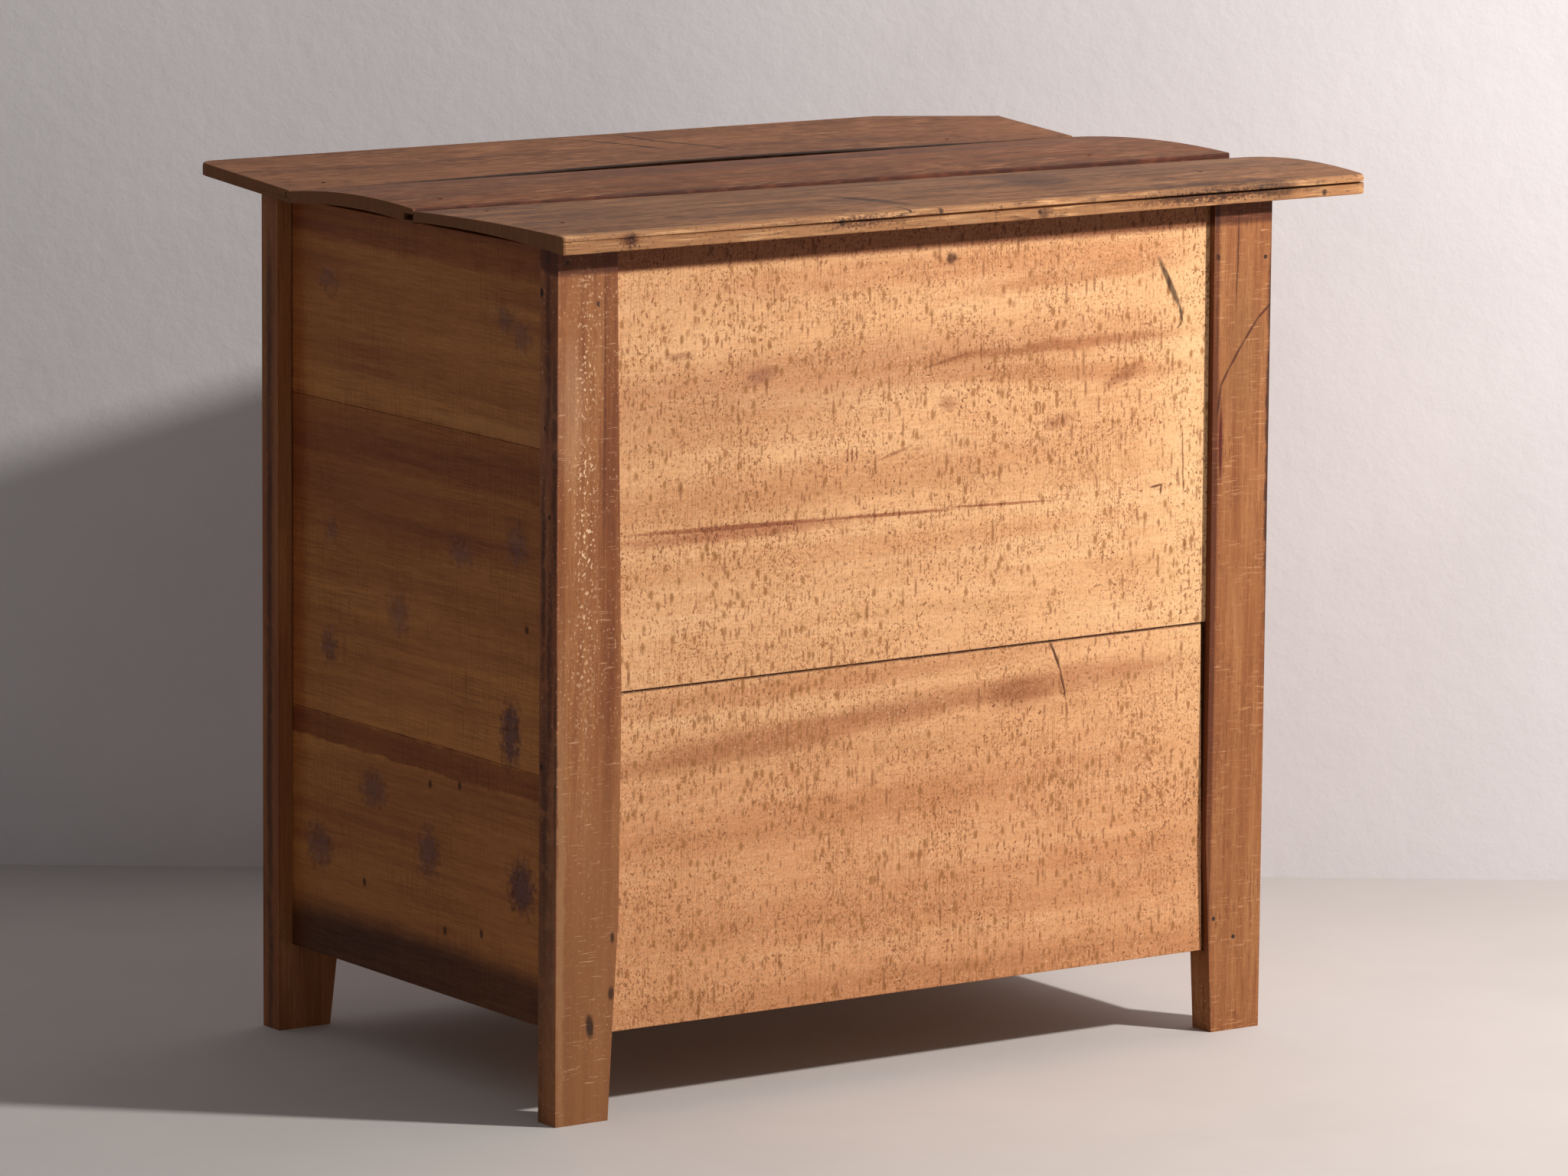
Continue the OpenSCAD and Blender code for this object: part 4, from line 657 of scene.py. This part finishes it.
top_back = start_top("wiped_beech_top_back", ("#93623a", "#744a2c", "#52321c"), 22)
wander = ragged_point(top_back, 5, 30)
close = ragged_point(top_back, 1.4, 10)
# Pale rubbed wood on the back edge; on the top beside it the same pale strip is a painted highlight
mark(top_back, (0, 290, 810), (ALL, 22, 60), "#a8764c", 0.85, 0, 0.14, wander, blend="MIX")
bare = inside(top_back, (0, 290, 810), (ALL, 22, 60), 1, 0, 0.14, wander)
streaks(top_back, (46, 6, 2.4), "#dcab78", 0.8, 60, 0.52, 0.66, only=bare)
streaks(top_back, (30, 6, 1.6), "#6a4429", 0.8, 60, 0.54, 0.64, only=bare)
streaks(top_back, (3, 6, 2.4), "#5a3822", 0.8, 45, 0.6, 0.68, only=bare)
streaks(top_back, (60, 3, 30), "#a8835f", 0.6, 90, 0.54, 0.68)
streaks(top_back, (16, 2, 30), "#4c3020", 0.7, 60, 0.58, 0.68)
mark(top_back, (-190, 160, 820), (30, 60, 30), "#6a5458", 0.5, (0, 0, -20), 0.6, wander)
mark(top_back, (30, 205, 820), (9, 50, 30), "#54443e", 0.6, (0, 0, 20), 0.5, close)
flecked = ragged_point(top_back, 14, 3)
mark(top_back, (85, 281, 812), (45, 30, 4), "#6e4028", 0.8, 0, 0.6, flecked)
mark(top_back, (-315, 277, 811), (90, 30, 4), "#6e4028", 0.8, 0.4, 0.6, flecked)
mark(top_back, SEAM_BACK[0], (ALL, 1.8, 30), "#5c3422", 0.85, SEAM_BACK[1], 0.3)
for x, z, size in ((32, 818, 2), (-2, 816, 2.6), (-115, 808, 2.2), (-451, 806, 3), (109, 812, 3)):
    mark(top_back, (x, 279, z), (size, 30, size), "#3a2216", 0.85, 0, 0.5, close, 0.2)
mark(top_back, (-395, 275, 812), (22, 30, 9), "#6a4a44", 0.6, 0, 0.5, close)
mark(top_back, (342, 279, 811), (10, 30, 6), "#a87c60", 0.7, 0, 0.4, close)
mark(top_back, (341, 279, 811), (6, 30, 4), "#5a3826", 0.8, 0, 0.6, flecked)
torn = ragged_point(top_back, 14, 5)
mark(top_back, (-330, 268, 816), (95, 12, 9), "#5e3c2a", 0.6, 0, 0.6, torn)
dress(finish_top(top_back), "top_board_back")

# %% [markdown]
# Inside, the floor, shelf and cleats kept the colour of new wood. The doors were planed and oiled
# like the posts, and hands have darkened their knobs. Pegs show end grain, which soaks up more
# oil and looks darker.

# %% Inner boards, doors, pegs and knobs
inner = start_beech("sawn_beech_inner", "x", ("#cf9c66", "#c08c58", "#a9743f"),
                    ring_mm=7, band_mm=40)
flecks(inner, (7, 7, 5), 0.22, 0.5, "#8a5a34", 0.6)
streaks(inner, (2, 40, 30), "#9a6a40", 0.5)
dress(finish_beech(inner, 0.62, 0.25),
      *[n for n in nodes if "cleat" in n or n.startswith(("floor_board", "shelf_board"))])

OILED = ("#b5774c", "#a46640", "#8e5434")
upright_door = start_beech("oiled_beech_door_stile", "z", OILED, ring_mm=5, band_mm=20)
flecks(upright_door, (5, 5, 12), 0.2, 0.35, "#6e4027", 0.5)
finish_beech(upright_door, 0.45, 0.2)
lying_door = start_beech("oiled_beech_door_rail", "x", OILED, ring_mm=5, band_mm=20)
flecks(lying_door, (12, 5, 5), 0.2, 0.35, "#6e4027", 0.5)
finish_beech(lying_door, 0.45, 0.2)
dress(upright_door["material"],
      *[n for n in nodes if n.startswith("door_") and n.endswith(("stile", "panel"))])
dress(lying_door["material"],
      *[n for n in nodes if n.startswith("door_") and n.endswith("rail")])

knobs = start_beech("handled_beech_knob", "y", ("#8a5433", "#744427", "#5a331d"),
                    ring_mm=2.2, band_mm=9)
dress(finish_beech(knobs, 0.32, 0.1), "door_left_knob", "door_right_knob")
pegs = start_beech("end_grain_beech_peg", "y", ("#8a5a36", "#754829", "#5c361e"),
                   ring_mm=1.4, band_mm=5)
dress(finish_beech(pegs, 0.6, 0.2), *[n for n in nodes if n.endswith("pegs")])

# %% [markdown]
# Iron here is of three kinds: nails gone to rust, hinges rolled from sheet and dulled, and the
# lock and shoot bolt. Rust is matt and not metallic any more, so one slow noise mixes bare metal
# with rust: metallic goes down as roughness goes up. Dull brass is the same with a thin brown
# tarnish instead.

# %% Metals
def old_metal(name, bare, crust, shiny, dull, share, grain_mm):
    """Bare metal showing through a crust of rust or tarnish."""
    material = bpy.data.materials.new(name)
    material.use_nodes = True
    tree = material.node_tree
    shader = tree.nodes["Principled BSDF"]
    point = add(tree, "TexCoord")["Object"]
    grain = grain_mm * MM
    slow = add(tree, "TexNoise", {"Vector": point, "Scale": 1 / grain, "Detail": 6,
                                  "Roughness": 0.7})[0]
    fine = add(tree, "TexNoise", {"Vector": point, "Scale": 4 / grain, "Detail": 4})[0]
    cover = add(tree, "MapRange", {0: slow, 1: 0.62 - share * 0.3, 2: 0.7 - share * 0.3, 3: 0, 4: 1})[0]
    colour = add(tree, "Mix", {0: cover, 6: linear(bare), 7: linear(crust)}, data_type="RGBA")[2]
    mottled = add(tree, "MapRange", {0: fine, 1: 0.3, 2: 0.7, 3: 0.75, 4: 1.15})[0]
    colour = add(tree, "VectorMath", {0: colour, "Scale": mottled}, operation="SCALE")[0]
    metallic = add(tree, "MapRange", {0: cover, 3: 1, 4: 0.1})[0]
    rough = add(tree, "MapRange", {0: cover, 3: shiny, 4: dull})[0]
    relief = add(tree, "Bump", {"Height": fine, "Strength": 0.4, "Distance": 0.3 * MM})[0]
    tree.links.new(colour, shader.inputs["Base Color"])
    tree.links.new(metallic, shader.inputs["Metallic"])
    tree.links.new(rough, shader.inputs["Roughness"])
    tree.links.new(relief, shader.inputs["Normal"])
    return material


dress(old_metal("rusted_wire_nail", "#5a4c42", RUST, 0.5, 0.85, 0.8, 3), "post_nails", "top_nails")
dress(old_metal("rolled_iron_hinge", "#6e655c", "#4a3426", 0.42, 0.8, 0.45, 9),
      *[n for n in nodes if "hinge_" in n and not n.startswith("door_")])
dress(old_metal("forged_iron_lock", "#5f5850", "#43301f", 0.4, 0.78, 0.35, 12),
      "lock_case", "shoot_bolt_plate", "shoot_bolt", "lock_key")
dress(old_metal("tarnished_brass", "#a98a4c", "#5c4526", 0.3, 0.6, 0.5, 10),
      "lock_bolt", "lock_escutcheon")

# %% [markdown]
# No real arris is knife sharp. A bevel of half a millimetre or more catches a line of light and
# shows how the wood has worn. The frame's pieces carry the bevel as a modifier, so the corners are
# first joined and flat faces made whole, which lets the bevel run cleanly round every board.

# %% Worn arrises
def wear(name, width_mm, steps=3):
    """Rounds the arrises of a piece."""
    piece = nodes[name]
    weld = piece.modifiers.new("join_corners", "WELD")
    weld.merge_threshold = 0.02 * MM
    whole = piece.modifiers.new("whole_faces", "DECIMATE")
    whole.decimate_type = "DISSOLVE"
    whole.angle_limit = math.radians(0.15)
    bevel = piece.modifiers.new("worn_arris", "BEVEL")
    bevel.width = width_mm * MM
    bevel.segments = steps
    bevel.limit_method = "ANGLE"
    bevel.angle_limit = math.radians(40)
    bevel.harden_normals = True


POST_ARRIS = 1.6
DOOR_ARRIS = 1.0
BOARD_ARRIS = 0.8
BOARDS = ("side_", "back_board", "floor_board", "shelf_board", "front_rail")
for name in nodes:
    if name.startswith(("post_front", "post_back")):
        wear(name, POST_ARRIS)
    elif name.startswith("door_") and name.endswith(("stile", "rail", "panel")):
        wear(name, DOOR_ARRIS)
    elif name.startswith(BOARDS) or "cleat" in name:
        wear(name, BOARD_ARRIS)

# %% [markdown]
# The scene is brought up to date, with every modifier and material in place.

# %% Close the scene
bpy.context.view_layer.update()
